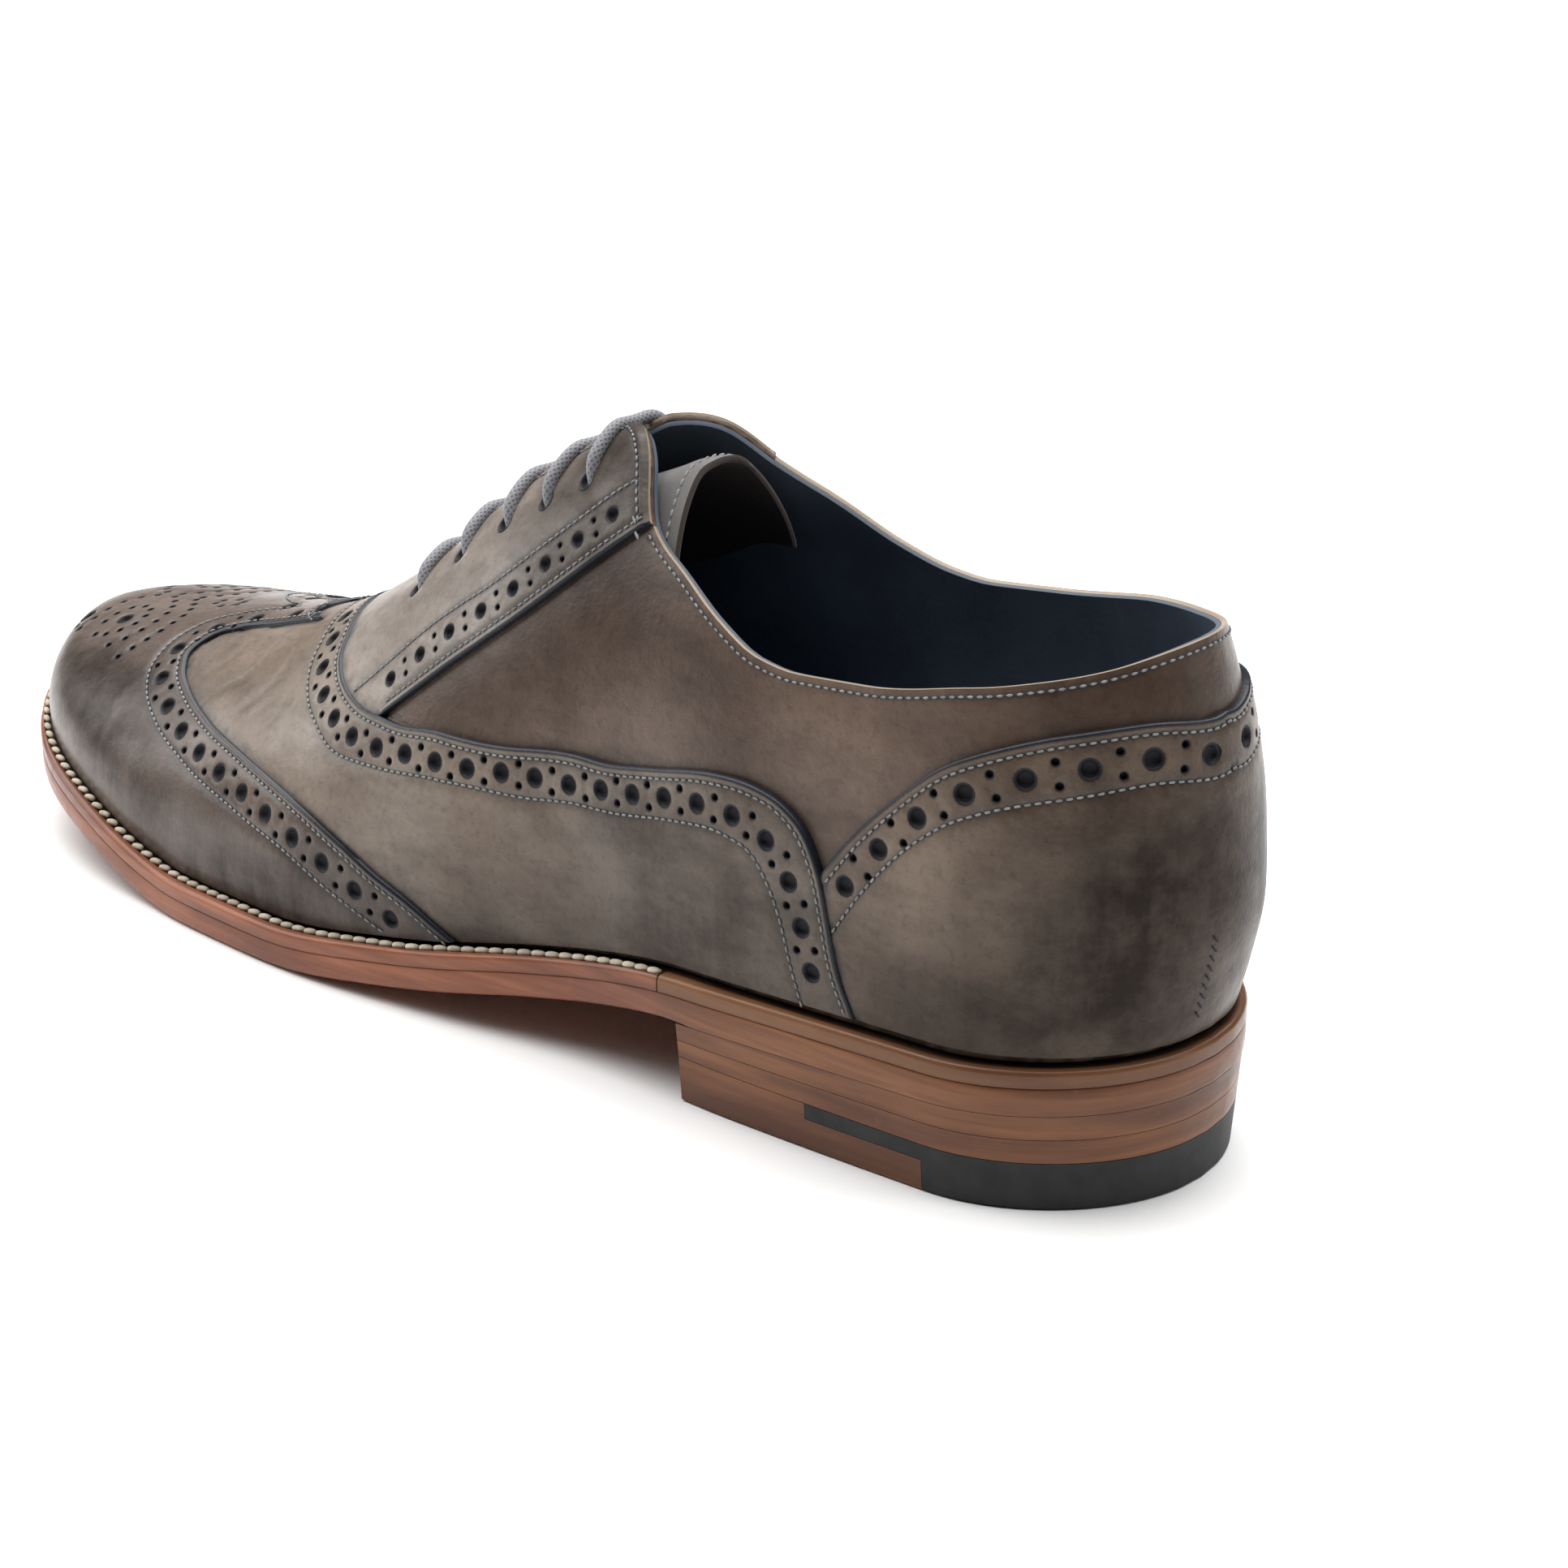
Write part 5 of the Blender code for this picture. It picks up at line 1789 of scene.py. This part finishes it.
    def eyestay(self, side: Side) -> Panel:
        """Facing with its perforated lower band and eyelets, on one side.

        Args:
            side: Side of the foot.

        Returns:
            The panel.
        """
        rear = np.column_stack([np.linspace(self.facing_rear, self.facing_end + 1.0, 40)] * 2)
        rear[:, 1] = np.minimum(self.collar_at(rear[:, 0], side), self.top_at(rear[:, 0], side))
        corner = tuple(rear[0])
        low = LAST.line((*self.stay_edge, corner))
        slot_s = np.linspace(rear[-1, 0], self.throat_end, 70)
        slot = np.column_stack([slot_s, np.minimum(self.top_at(slot_s, side), self.near_ridge)])
        vamp = LAST.line(self.vamp_edge)
        seam = vamp[vamp[:, 1] > self.stay_edge[0][1]][::-1]
        front = LAST.shifted(seam, -0.5)
        front[0, 1] = self.near_ridge
        ridge = np.column_stack([np.linspace(self.throat_end, front[0, 0], 16), np.full(16, self.near_ridge)])
        front = np.concatenate([front, low[:1]])
        row_low = LAST.shifted(low, 1.7)[4:-2]
        row = LAST.line(self.stay_row)
        band = self.between(row_low, row, len(row))
        holes = spaced_holes(band[2:-2], self.stay_pitch, self.stay_large, self.stay_small, self.stay_aside)
        eyelets = [Hole(s, self.eyelet_height, self.eyelet_radius) for s in self.eyelet_stations]
        rear_row = LAST.shifted(rear, 2.1)[2:-4]
        slot_row = LAST.shifted(slot, 2.4)[6:-14]
        return Panel(f"eyestay_{side.name.lower()}_panel", self.stay_rise,
                     [low, rear, slot, ridge, front], [low], [row_low, row, rear_row, slot_row],
                     holes + eyelets,
                     tucked=[seam], raw=[rear], sides=(side,), burnish=self.burnish,
                     roll=0.4, ink_width=0.5)

    def build(self, looks: Finishes, work: Needlework) -> None:
        """Make the upper, its lining and its panels.

        Args:
            looks: Materials of the shoe.
            work: Gatherer of rows and holes.
        """
        shell = self.wall("upper_shell", looks.quarter, 0.0, -self.quarter_wall, 46, 0.15)
        hand_in(shell, "upper_leather", "upper")
        inner = -self.quarter_wall - self.lining_wall
        lining = self.wall("upper_lining", looks.lining, -self.quarter_wall - 0.06, inner, 30, 0.1)
        hand_in(lining, "upper_leather")
        hand_in(self.wing().build(looks.toe, work, "upper_stitches"), "toe_leather", "toe_cap")
        hand_in(self.vamp().build(looks.vamp, work, "upper_stitches"), "upper_leather", "vamp")
        counter = self.counter().build(looks.counter, work, "upper_stitches")
        hand_in(counter, "counter_leather", "heel_counter")
        for side in BOTH:
            panel = self.eyestay(side).build(looks.stay, work, "upper_stitches")
            hand_in(panel, "upper_leather", f"eyestay_{side.name.lower()}")
        self.collar_rows(work)

    def collar_rows(self, work: Needlework) -> None:
        """Row below the collar, the closing seam inside the foot and the row up the back.

        Args:
            work: Gatherer of rows and holes.
        """
        for side in BOTH:
            s = np.concatenate([np.linspace(0.0, 12.0, 24), np.linspace(12.6, 105.0, 150)])
            edge = np.column_stack([s, self.collar_at(s, side)])
            self.row_on_wall(work, LAST.shifted(edge, self.collar_inset), side)
        for station in self.inner_seams:
            seam = LAST.line(((station, 0.445), (station - 0.8, 0.35), (station - 2.0, 0.28)))
            self.row_on_wall(work, seam, Side.MEDIAL)
        for side in BOTH:
            for step in range(2):
                tack = LAST.line(np.array(self.tack) + np.array(self.tack_step) * step)
                work.sew_line("upper_stitches", tack, self.stay_rise + 0.05, (side,))
        work.sew_line("back_stitches", LAST.line(self.back_row), self.counter_rise + 0.05, (Side.LATERAL,))

    @staticmethod
    def row_on_wall(work: Needlework, places: Array, side: Side) -> None:
        """Row of stitches on the plain wall, over a dark line of painted shade that stands for the stitch
        groove.
        """
        work.sew_line("upper_stitches", places, 0.1, (side,))
        work.sew_line("sunk_line", places, -0.06, (side,))


@dataclass
class Tongue:
    """Tongue lying under the facings, its free end arched over the instep and stitched along the rim."""

    foot: float = 196.0
    lateral: float = 26.0
    medial: float = 14.8
    thick: float = 1.2
    depth: float = 2.5
    rear: float = 105.2
    lean: float = 0.258
    middle: float = -3.0
    narrow: float = 1.3
    flat: float = 0.8
    blend: float = 1.1
    row_inset: float = 2.4
    arch: tuple[Knot, ...] = (
        Knot(0.0, 0.0), Knot(5.0, 0.5), Knot(7.5, 1.5), Knot(10.0, 3.4), Knot(12.0, 5.2), Knot(14.4, 7.8),
        Knot(16.6, 10.8), Knot(18.4, 13.9), Knot(19.7, 17.2), Knot(20.8, 23.0),
        Knot(21.6, 31.0), Knot(22.4, 42.0),
    )
    crest: tuple[Knot, ...] = (
        Knot(98.0, 106.9), Knot(105.2, 106.5), Knot(109.0, 105.6), Knot(114.0, 103.4), Knot(120.0, 100.9),
        Knot(128.0, 97.8), Knot(140.0, 93.4), Knot(150.0, 89.8), Knot(160.0, 86.0),
    )

    def drop(self, aside: Array, sink: float) -> Array:
        """How far the arch has fallen at distances from the ridge line."""
        beside = np.asarray(aside) - self.middle
        return LAST.profile(self.arch, np.maximum(self.narrow * beside, -beside) * (1.0 + sink / 20.0)) + sink

    def end_at(self, aside: Array) -> Array:
        """Station of the free end, which leans back towards the sides, less so on the inner one."""
        return self.rear - self.lean * self.drop(np.minimum(aside, self.flat * np.asarray(aside)), 0.0)

    def point(self, station: Array, aside: Array, sink: float) -> Array:
        """Points of the tongue: under the upper, or on the arch where that is lower.

        Args:
            station: Distances from the heel.
            aside: Distances from the ridge line, towards the inner side of the foot.
            sink: Depth below the outer face.

        Returns:
            Points, with their three coordinates last.
        """
        station, aside = paired(station, aside)
        result = np.zeros(station.shape + (3,))
        for side in BOTH:
            height = LAST.beside_ridge(station, np.abs(aside), side)
            chosen = (aside <= 0.0) if side is Side.LATERAL else (aside > 0.0)
            under = np.full(station.shape, -self.depth - sink)
            result[chosen] = LAST.over(station, height, side, under)[chosen]
        level = LAST.profile(self.crest, station) - self.drop(result[..., 1] - LAST.ridge_y(station), sink)
        result[..., 2] = -self.blend * np.logaddexp(-level / self.blend, -result[..., 2] / self.blend)
        return result

    def build(self, looks: Finishes, work: Needlework) -> None:
        """Make the tongue and its stitched rim.

        Args:
            looks: Materials of the shoe.
            work: Gatherer of rows and holes.
        """
        share = np.linspace(0.0, 1.0, 61)[:, None] ** 1.4
        centre = (self.medial - self.lateral) / 2.0
        half = (self.medial + self.lateral) / 2.0
        across = (centre + half * np.sin(np.linspace(-0.5, 0.5, 49) * math.pi))[None, :]
        s = self.end_at(across) * (1.0 - share) + self.foot * share
        aside = np.broadcast_to(across, s.shape)
        outer = self.point(s, aside, 0.0)
        inner = self.point(s, aside, self.thick)
        middle = (outer + inner) / 2.0
        sheet = Sheet()
        sheet.grid(outer)
        sheet.grid(inner, True, 1.0)
        for column, flip in ((0, True), (-1, False)):
            sheet.grid(np.stack([outer[:, column], middle[:, column], inner[:, column]], axis=1), flip, 1.0)
        for row, push in ((0, 0.3), (-1, 0.0)):
            bulge = middle[row] + np.array([push, 0.0, 0.0])
            sheet.grid(np.stack([outer[row], bulge, inner[row]], axis=0), row == -1, 1.0)
        hand_in(turned_out(sheet.made("tongue_piece", looks.tongue), 55.0), "tongue_leather", "tongue")
        row_a = centre + np.linspace(-1.0, 1.0, 80) * (half - self.row_inset)
        row_s = self.end_at(row_a) + self.row_inset
        places = self.point(row_s, row_a, -0.05)
        facing = places - self.point(row_s, row_a, 1.0)
        work.row("tongue_stitches", places, facing / np.linalg.norm(facing, axis=1, keepdims=True))


@dataclass
class Lacing:
    """Straight bars of waxed lace that dive into the eyelets on either side."""

    radius: float = 1.25
    rise: float = 2.3
    sink: float = -0.9
    around: int = 14
    points: int = 40
    lay: float = 1.2
    slack: float = 0.8
    easing: int = 8
    uppers: Uppers = field(default_factory=Uppers)

    def path(self, station: float) -> Array:
        """Middle line of one bar, from eyelet to eyelet.

        Args:
            station: Station of its eyelets.

        Returns:
            Points along the line.
        """
        share = np.linspace(-1.0, 1.0, self.points)
        foot = self.uppers.eyelet_height
        height = 1.0 - (1.0 - foot + 0.004) * np.abs(share) ** 0.8
        lift = self.sink + (self.rise - self.sink) * ramp(1.0 - np.abs(share), 0.0, 0.16)
        sway = 0.5 * np.sin(share * math.pi + station)
        path = np.zeros((self.points, 3))
        for side in BOTH:
            chosen = share < 0.0 if side is Side.LATERAL else share >= 0.0
            s = station + sway
            path[chosen] = LAST.over(s, height, side, lift)[chosen]
        middle = np.abs(share) < 0.28
        low, high = np.flatnonzero(middle)[[0, -1]]
        f = np.linspace(0.0, 1.0, high - low + 1)[:, None]
        straight = path[low] * (1.0 - f) + path[high] * f
        straight[:, 2] -= self.slack * np.sin(f[:, 0] * math.pi)
        path[low:high + 1] = straight
        for _ in range(self.easing):
            path[1:-1] = (path[:-2] + 2.0 * path[1:-1] + path[2:]) / 4.0
        return path

    def bar(self, number: int, station: float, finish: Material) -> Piece:
        """One bar as a tube with a UV map for its plait.

        Args:
            number: Number of the bar.
            station: Station of its eyelets.
            finish: Its material.

        Returns:
            The bar.
        """
        path = self.path(station)
        run = unit(np.gradient(path, axis=0))
        first = unit(np.cross(run, np.array([1.0, 0.0, 0.0])))
        second = np.cross(run, first)
        turn = np.arange(self.around + 1) / self.around
        angle = np.linspace(0.0, 2.0 * math.pi, self.around + 1)[:-1, None]
        spokes = np.cos(angle) * first[:, None] + np.sin(angle) * second[:, None]
        rings = path[:, None] + self.radius * spokes
        ids = np.arange(self.points * self.around).reshape(self.points, self.around)
        beside = np.roll(ids, -1, axis=1)
        quads = np.stack([ids[:-1], ids[1:], beside[1:], beside[:-1]], axis=-1).reshape(-1, 4)
        uv = np.stack(np.broadcast_arrays(run_along(path)[:, None] / self.lay, turn), axis=-1)
        corners = np.stack([uv[:-1, :-1], uv[1:, :-1], uv[1:, 1:], uv[:-1, 1:]], axis=2).reshape(-1, 2)
        mesh = bpy.data.meshes.new(f"lace_{number}")
        mesh.from_pydata((rings.reshape(-1, 3) * MM).tolist(), [], quads.tolist() + ids[[0, -1]].tolist())
        layer = mesh.uv_layers.new(name="cord")
        caps = uv[[0, -1], :-1].reshape(-1, 2)
        layer.data.foreach_set("uv", np.concatenate([corners, caps]).astype(np.float32).ravel())
        mesh.shade_smooth()
        mesh.materials.append(finish)
        return turned_out(in_scene(f"lace_{number}", mesh), 60.0)

    def build(self, looks: Finishes) -> None:
        """Make every bar."""
        for number, station in enumerate(self.uppers.eyelet_stations, start=1):
            hand_in(self.bar(number, station, looks.cord), "lace_cotton", f"lace_bar_{number}")


@dataclass
class SoleUnit:
    """Outsole, welt, rand, insole and stacked heel."""

    plug: float = -10.0
    insole_margin: float = -3.3
    insole_thick: float = 2.8
    welt_inner: float = -9.0
    rand_end: float = 90.0
    breast: float = 86.0
    inset: float = 0.25
    taper: float = 1.3
    heel_flat: float = 0.85
    bow: float = 2.5
    top_piece: float = 9.0
    rubber_front: float = 34.0
    lap_front: float = 58.0
    lap_z: float = 6.1
    row_gap: float = 1.15

    def plate(self, name: str, finish: Material, stations: Array,
              levels: Sequence[tuple[Rule, Rule]], bow: float = 0.0, columns: int = 14) -> Piece:
        """Closed plate from stacked outlines.

        Args:
            name: Name of the piece.
            finish: Its material.
            stations: Stations of its rows.
            levels: Margin rule and height rule of each outline, bottom first.
            bow: How far the front edge curves back.
            columns: Cells across.

        Returns:
            The plate.
        """
        across = np.linspace(0.0, 1.0, columns + 1)
        forward = (stations / stations[-1]) ** 4
        layers = []
        for margin, height in levels:
            lateral, medial = (LAST.sole_outline(stations, side, margin) for side in BOTH)
            share = across[None, :, None]
            xy = lateral[:, None, :] * (1.0 - share) + medial[:, None, :] * share
            xy[..., 0] += bow * forward[:, None] * 4.0 * across * (1.0 - across)
            layers.append(np.dstack([xy, height(xy[..., 0])]))
        sheet = Sheet()
        sheet.grid(layers[0])
        sheet.grid(layers[-1], True)
        for low, high in zip(layers, layers[1:]):
            sides = ((np.s_[:, 0], False), (np.s_[:, -1], True), (np.s_[-1], False), (np.s_[0], True))
            for pick, flip in sides:
                sheet.grid(np.stack([low[pick], high[pick]], axis=1), flip)
        return turned_out(sheet.made(name, finish), 40.0)

    def strip(self, name: str, finish: Material, stations: Array, low: Rule, high: Rule,
              groove: float, row: Callable[[float], Rule]) -> Piece:
        """Closed band round one end of the sole, with a groove along its top.

        Args:
            name: Name of the piece.
            finish: Its material.
            stations: Stations along the band, from its lateral end.
            low: Height rule of its underside.
            high: Height rule of its top.
            groove: Depth of the stitch groove.
            row: Margin rule of its top at a distance beyond the stitch row.

        Returns:
            The band.
        """
        inner = lambda s: np.full_like(s, self.welt_inner)
        # The last value of each rail is painted shade: on the welt in the stitch groove, on the rand along
        # its top next to the upper, and on the hidden inner face. The lowest rails give a darker seam.
        profile = (
            (LAST.edge_margin(0.12), low, -0.2, 0.5), (LAST.edge_margin(0.0), low, 0.05, 0.2),
            (LAST.edge_margin(0.0), low, 0.5, 0.0), (LAST.edge_margin(0.0), high, -0.9, 0.0),
            (LAST.edge_margin(0.18), high, -0.35, 0.0), (LAST.edge_margin(0.75), high, 0.0, 0.0),
            (row(0.95), high, 0.0, 0.15), (row(0.35), high, -groove, 0.95),
            (row(-0.6), high, -groove, 1.0), (inner, high, 0.0, 1.0), (inner, low, 0.0, 1.0),
        )
        rails, ink = [], []
        for margin, height, lift, dark in profile:
            path = LAST.around(stations, margin)
            rails.append(np.column_stack([path, height(path[:, 0]) + lift]))
            ink.append(np.full(len(path), dark))
        rails.append(rails[0])
        ink.append(ink[0])
        grid = np.stack(rails, axis=1)
        sheet = Sheet()
        sheet.grid(grid)
        points = np.concatenate(sheet.points)
        shades = np.stack(ink, axis=1).ravel()
        count = len(points)
        caps = [list(range(0, len(rails) - 1)), [count - len(rails) + i for i in range(len(rails) - 1)]]
        return turned_out(place_mesh(name, points, list(sheet.faces) + caps, finish, ink=shades), 45.0)

    def row_margin(self, beyond: float) -> Rule:
        """Margin of the welt's stitch row, just clear of the panel on the upper."""
        wing = lambda s: 1.5 + 0.75 * ramp(s, 140.0, 150.0)
        return lambda s: wing(s) + self.row_gap + beyond - 0.45 * ramp(s, 262.0, 286.0)

    @staticmethod
    def rand_margin(beyond: float) -> Rule:
        """Margin along the top of the rand, close to the heel counter."""
        return lambda s: 1.3 + 0.5 * beyond + 0.0 * s

    def welt_row(self, work: Needlework) -> None:
        """Row of heavy stitches along the welt.

        Args:
            work: Gatherer of rows and holes.
        """
        stations = LAST.spread(260, self.rand_end + 2.0)
        path = LAST.around(stations, self.row_margin(0.0))
        points = np.column_stack([path, LAST.feather(path[:, 0]) + 0.12])
        work.row("welt_stitches", points, np.tile([0.0, 0.0, 1.0], (len(points), 1)))

    def tread_margin(self, inset: float) -> Rule:
        """Margin of the outsole's lower edge, rounded off in front of the heel only."""
        keep = lambda s: 1.0 - self.heel_flat * (1.0 - ramp(s, self.breast - 4.0, self.breast + 4.0))
        return lambda s: LAST.profile(LAST.edge_line, s) - inset * keep(s)

    def heel_margin(self, z: float) -> Rule:
        """Margin of the heel block at a height."""
        return LAST.edge_margin(self.inset + self.taper * (1.0 - z / LAST.tread_line[0].value))

    def build(self, looks: Finishes, work: Needlework) -> None:
        """Make the sole and heel, and hand the welt's row to the needlework.

        Args:
            looks: Materials of the shoe.
            work: Gatherer of rows and holes.
        """
        whole = LAST.spread(170)
        rise = lambda z: (lambda x: LAST.tread(x) + z)
        thick = LAST.sole
        outsole = self.plate("outsole_piece", looks.edge, whole, (
            (self.tread_margin(1.5), rise(0.0)), (self.tread_margin(0.6), rise(0.22)),
            (self.tread_margin(0.12), rise(0.85)), (LAST.edge_margin(0.0), rise(1.6)),
            (LAST.edge_margin(0.0), rise(thick - 0.2)), (LAST.edge_margin(0.12), rise(thick)),
        ))
        hand_in(outsole, "sole_leather", "outsole")
        low = rise(thick + LAST.seat)
        front = LAST.spread(190, self.rand_end + LAST.seat)
        hand_in(self.strip("welt_piece", looks.edge, front, low, LAST.feather, 0.35,
                           self.row_margin), "welt_leather", "welt")
        rear = LAST.spread(150, 0.0, self.rand_end)[::-1]
        hand_in(self.strip("heel_rand_piece", looks.rand, rear, low, LAST.feather, 0.0,
                           self.rand_margin), "rand_leather", "heel_rand")
        shelf = rise(thick + LAST.welt + LAST.seat)
        flat = lambda value: (lambda s: np.full_like(s, value))
        insole = self.plate("insole_piece", looks.lining, LAST.spread(90), (
            (flat(self.plug), low), (flat(self.plug), shelf), (flat(self.insole_margin), shelf),
            (flat(self.insole_margin), rise(thick + LAST.welt + self.insole_thick - 0.5)),
            (flat(self.insole_margin - 0.6), rise(thick + LAST.welt + self.insole_thick)),
        ))
        hand_in(insole, "insole_leather", "insole")
        self.welt_row(work)
        self.heel(looks)

    def heel(self, looks: Finishes) -> None:
        """Make the lifts, the leather top piece and the rubber tip lapped over it.

        Args:
            looks: Materials of the shoe.
        """
        rows = LAST.spread(150, 0.0, self.breast)
        top = LAST.tread_line[0].value
        middle = (self.top_piece + top) / 2.0
        seam = lambda lift: (lambda x: (self.top_piece + LAST.tread(x)) / 2.0 + lift)
        level = lambda z: (lambda x: np.full_like(x, z))
        upper = self.plate("heel_lift_upper_piece", looks.stack, rows, (
            (self.heel_margin(middle), seam(0.05)),
            (self.heel_margin(top), lambda x: LAST.tread(x) - LAST.seat + 0.2)), self.bow)
        hand_in(upper, "heel_leather", "heel_lift_upper")
        lower = self.plate("heel_lift_lower_piece", looks.stack, rows, (
            (self.heel_margin(self.top_piece), level(self.top_piece + 0.12)),
            (self.heel_margin(middle), seam(-0.05))), self.bow)
        hand_in(lower, "heel_leather", "heel_lift_lower")
        levels = (
            (LAST.edge_margin(self.inset + self.taper + 0.5), level(0.0)),
            (self.heel_margin(0.0), level(0.4)),
            (self.heel_margin(self.top_piece), level(self.top_piece)),
        )
        leather = self.plate("top_piece_piece", looks.stack, rows, levels, self.bow)
        rubber = self.plate("heel_tip_piece", looks.rubber, rows, levels, self.bow)
        tip_x = LAST.heel_x - self.rubber_front
        lap_x = LAST.heel_x - self.lap_front
        far, tall = 400.0, 30.0
        self.cut(leather, (tip_x - 0.1, -tall), (far, tall))
        self.cut(leather, (lap_x - 0.1, self.lap_z - 0.1), (far, tall))
        self.cut(rubber, (-far, -tall), (tip_x, self.lap_z))
        self.cut(rubber, (-far, -tall), (lap_x, tall))
        hand_in(leather, "heel_leather", "top_piece")
        hand_in(rubber, "tip_rubber", "heel_tip")

    @staticmethod
    def cut(obj: Piece, low: Place, high: Place) -> None:
        """Cut a block away from a piece, given by its corners along the shoe and in height.

        Args:
            obj: The piece.
            low: Lower corner.
            high: Upper corner.
        """
        reach = 90.0
        corners = [(x, y, z) for x in (low[0], high[0]) for y in (-reach, reach) for z in (low[1], high[1])]
        mesh = bpy.data.meshes.new("block")
        mesh.from_pydata([tuple(v * MM for v in c) for c in corners], [],
                         [(0, 1, 3, 2), (4, 6, 7, 5), (0, 4, 5, 1), (2, 3, 7, 6), (0, 2, 6, 4), (1, 5, 7, 3)])
        block = in_scene("block", mesh)
        modifier = obj.modifiers.new("cut", "BOOLEAN")
        modifier.operation = "DIFFERENCE"
        modifier.object = block
        bpy.context.view_layer.update()
        result = bpy.data.meshes.new_from_object(obj.evaluated_get(bpy.context.evaluated_depsgraph_get()))
        obj.modifiers.remove(modifier)
        obj.data = result
        bpy.data.objects.remove(block)
        obj.data.set_sharp_from_angle(angle=math.radians(40.0))


class Softbox(NamedTuple):
    """Large soft light: where it hangs, where it points and its size in metres, and its watts."""

    name: str
    place: tuple[float, float, float]
    aim: tuple[float, float, float]
    size: tuple[float, float]
    power: float


@dataclass
class Studio:
    """Pale floor, soft light and the camera at the photo's angle."""

    azimuth: float = 40.318
    elevation: float = 22.294
    distance: float = 696.73
    target: tuple[float, float, float] = (-9.94, 67.47, 8.58)
    lens: float = 76.188
    floor_half: float = 12.0
    glow: float = 0.06
    lights: tuple[Softbox, ...] = (
        Softbox("overhead", (-0.42, 0.48, 1.6), (-0.3, 0.32, 0.0), (2.8, 2.4), 108.0),
        Softbox("toe_side", (-1.2, -0.5, 0.7), (-0.05, 0.0, 0.05), (0.7, 0.9), 9.0),
        Softbox("heel_side", (1.1, 0.5, 0.6), (0.1, 0.0, 0.06), (0.16, 1.0), 2.0),
    )

    def back(self) -> Vector:
        """Direction from the shoe to the camera."""
        az, el = math.radians(self.azimuth), math.radians(self.elevation)
        return Vector((math.sin(az) * math.cos(el), -math.cos(az) * math.cos(el), math.sin(el)))

    def camera(self) -> None:
        """Set up the camera."""
        data = bpy.data.cameras.new("camera")
        data.lens = self.lens
        data.sensor_width = 36.0
        data.sensor_fit = "HORIZONTAL"
        data.clip_end = 50.0
        obj = in_scene("camera", data)
        obj.location = Vector(self.target) * MM + self.back() * self.distance * MM
        obj.rotation_euler = self.back().to_track_quat("Z", "Y").to_euler()
        bpy.context.scene.camera = obj

    def floor(self, finish: Material) -> None:
        """Lay the floor."""
        corners = np.array([(-1.0, -1.0, 0.0), (1.0, -1.0, 0.0), (1.0, 1.0, 0.0), (-1.0, 1.0, 0.0)])
        place_mesh("floor", corners * self.floor_half / MM, [(0, 1, 2, 3)], finish)

    @staticmethod
    def hang(light: Softbox) -> None:
        """Hang one soft light.

        Args:
            light: Its place, aim, size and power.
        """
        data = bpy.data.lights.new(light.name, "AREA")
        data.shape = "RECTANGLE"
        data.size, data.size_y = light.size
        data.energy = light.power
        obj = in_scene(light.name, data)
        obj.location = light.place
        obj.rotation_euler = (Vector(light.place) - Vector(light.aim)).to_track_quat("Z", "Y").to_euler()

    def light(self) -> None:
        """Set the world and hang the soft lights."""
        world = bpy.data.worlds.new("studio")
        world.use_nodes = True
        sky = world.node_tree.nodes["Background"].inputs
        sky["Color"].default_value = (1.0, 1.0, 1.0, 1.0)
        sky["Strength"].default_value = self.glow
        bpy.context.scene.world = world
        for light in self.lights:
            self.hang(light)
        bpy.context.scene.view_settings.view_transform = "Standard"

    def build(self, looks: Finishes) -> None:
        """Set the stage.

        Args:
            looks: Materials of the shoe.
        """
        self.camera()
        self.floor(looks.floor)
        self.light()


UPPER_STITCH = Stitch(1.65, 1.15, 0.22)
# Dark line laid under wall stitches: painted shade of the stitch groove.
GROOVE_SHADE_LINE = Stitch(1.65, 2.3, 0.3)
TONGUE_STITCH = Stitch(2.0, 1.5, 0.24)
BACK_STITCH = Stitch(1.7, 1.7, 0.28, 0.9)
WELT_STITCH = Stitch(3.2, 2.8, 0.7, 0.22)
PUNCH_DEPTH = 1.05


def sew_and_punch(work: Needlework, looks: Finishes) -> None:
    """Make all the rows of stitches and all the punched holes.

    Args:
        work: Rows and holes gathered from the pieces.
        looks: Materials of the shoe.
    """
    rows = (
        ("upper_stitches", UPPER_STITCH, looks.thread, "upper_leather"),
        ("tongue_stitches", TONGUE_STITCH, looks.thread, "tongue_leather"),
        ("back_stitches", BACK_STITCH, looks.dark_thread, "counter_leather"),
        # Painted groove shade under the wall stitches.
        ("sunk_line", GROOVE_SHADE_LINE, looks.dark_thread, "upper_leather"),
        ("welt_stitches", WELT_STITCH, looks.welt_thread, "welt_leather"),
    )
    for group, stitch, thread, slot in rows:
        hand_in(work.make_rows(group, stitch, thread), slot)
    for radius in sorted(work.punches):
        hand_in(work.make_punches(radius, PUNCH_DEPTH, looks.punched), "upper_leather")


def main() -> None:
    """Build the shoe piece by piece and set the studio round it."""
    logging.basicConfig(level=logging.INFO, format="%(message)s")
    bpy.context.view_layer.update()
    looks = Finishes()
    Studio().build(looks)
    work = Needlework(Bench())
    uppers = Uppers()
    uppers.build(looks, work)
    Tongue().build(looks, work)
    Lacing(uppers=uppers).build(looks)
    SoleUnit().build(looks, work)
    sew_and_punch(work, looks)


if __name__ == "__main__":
    main()
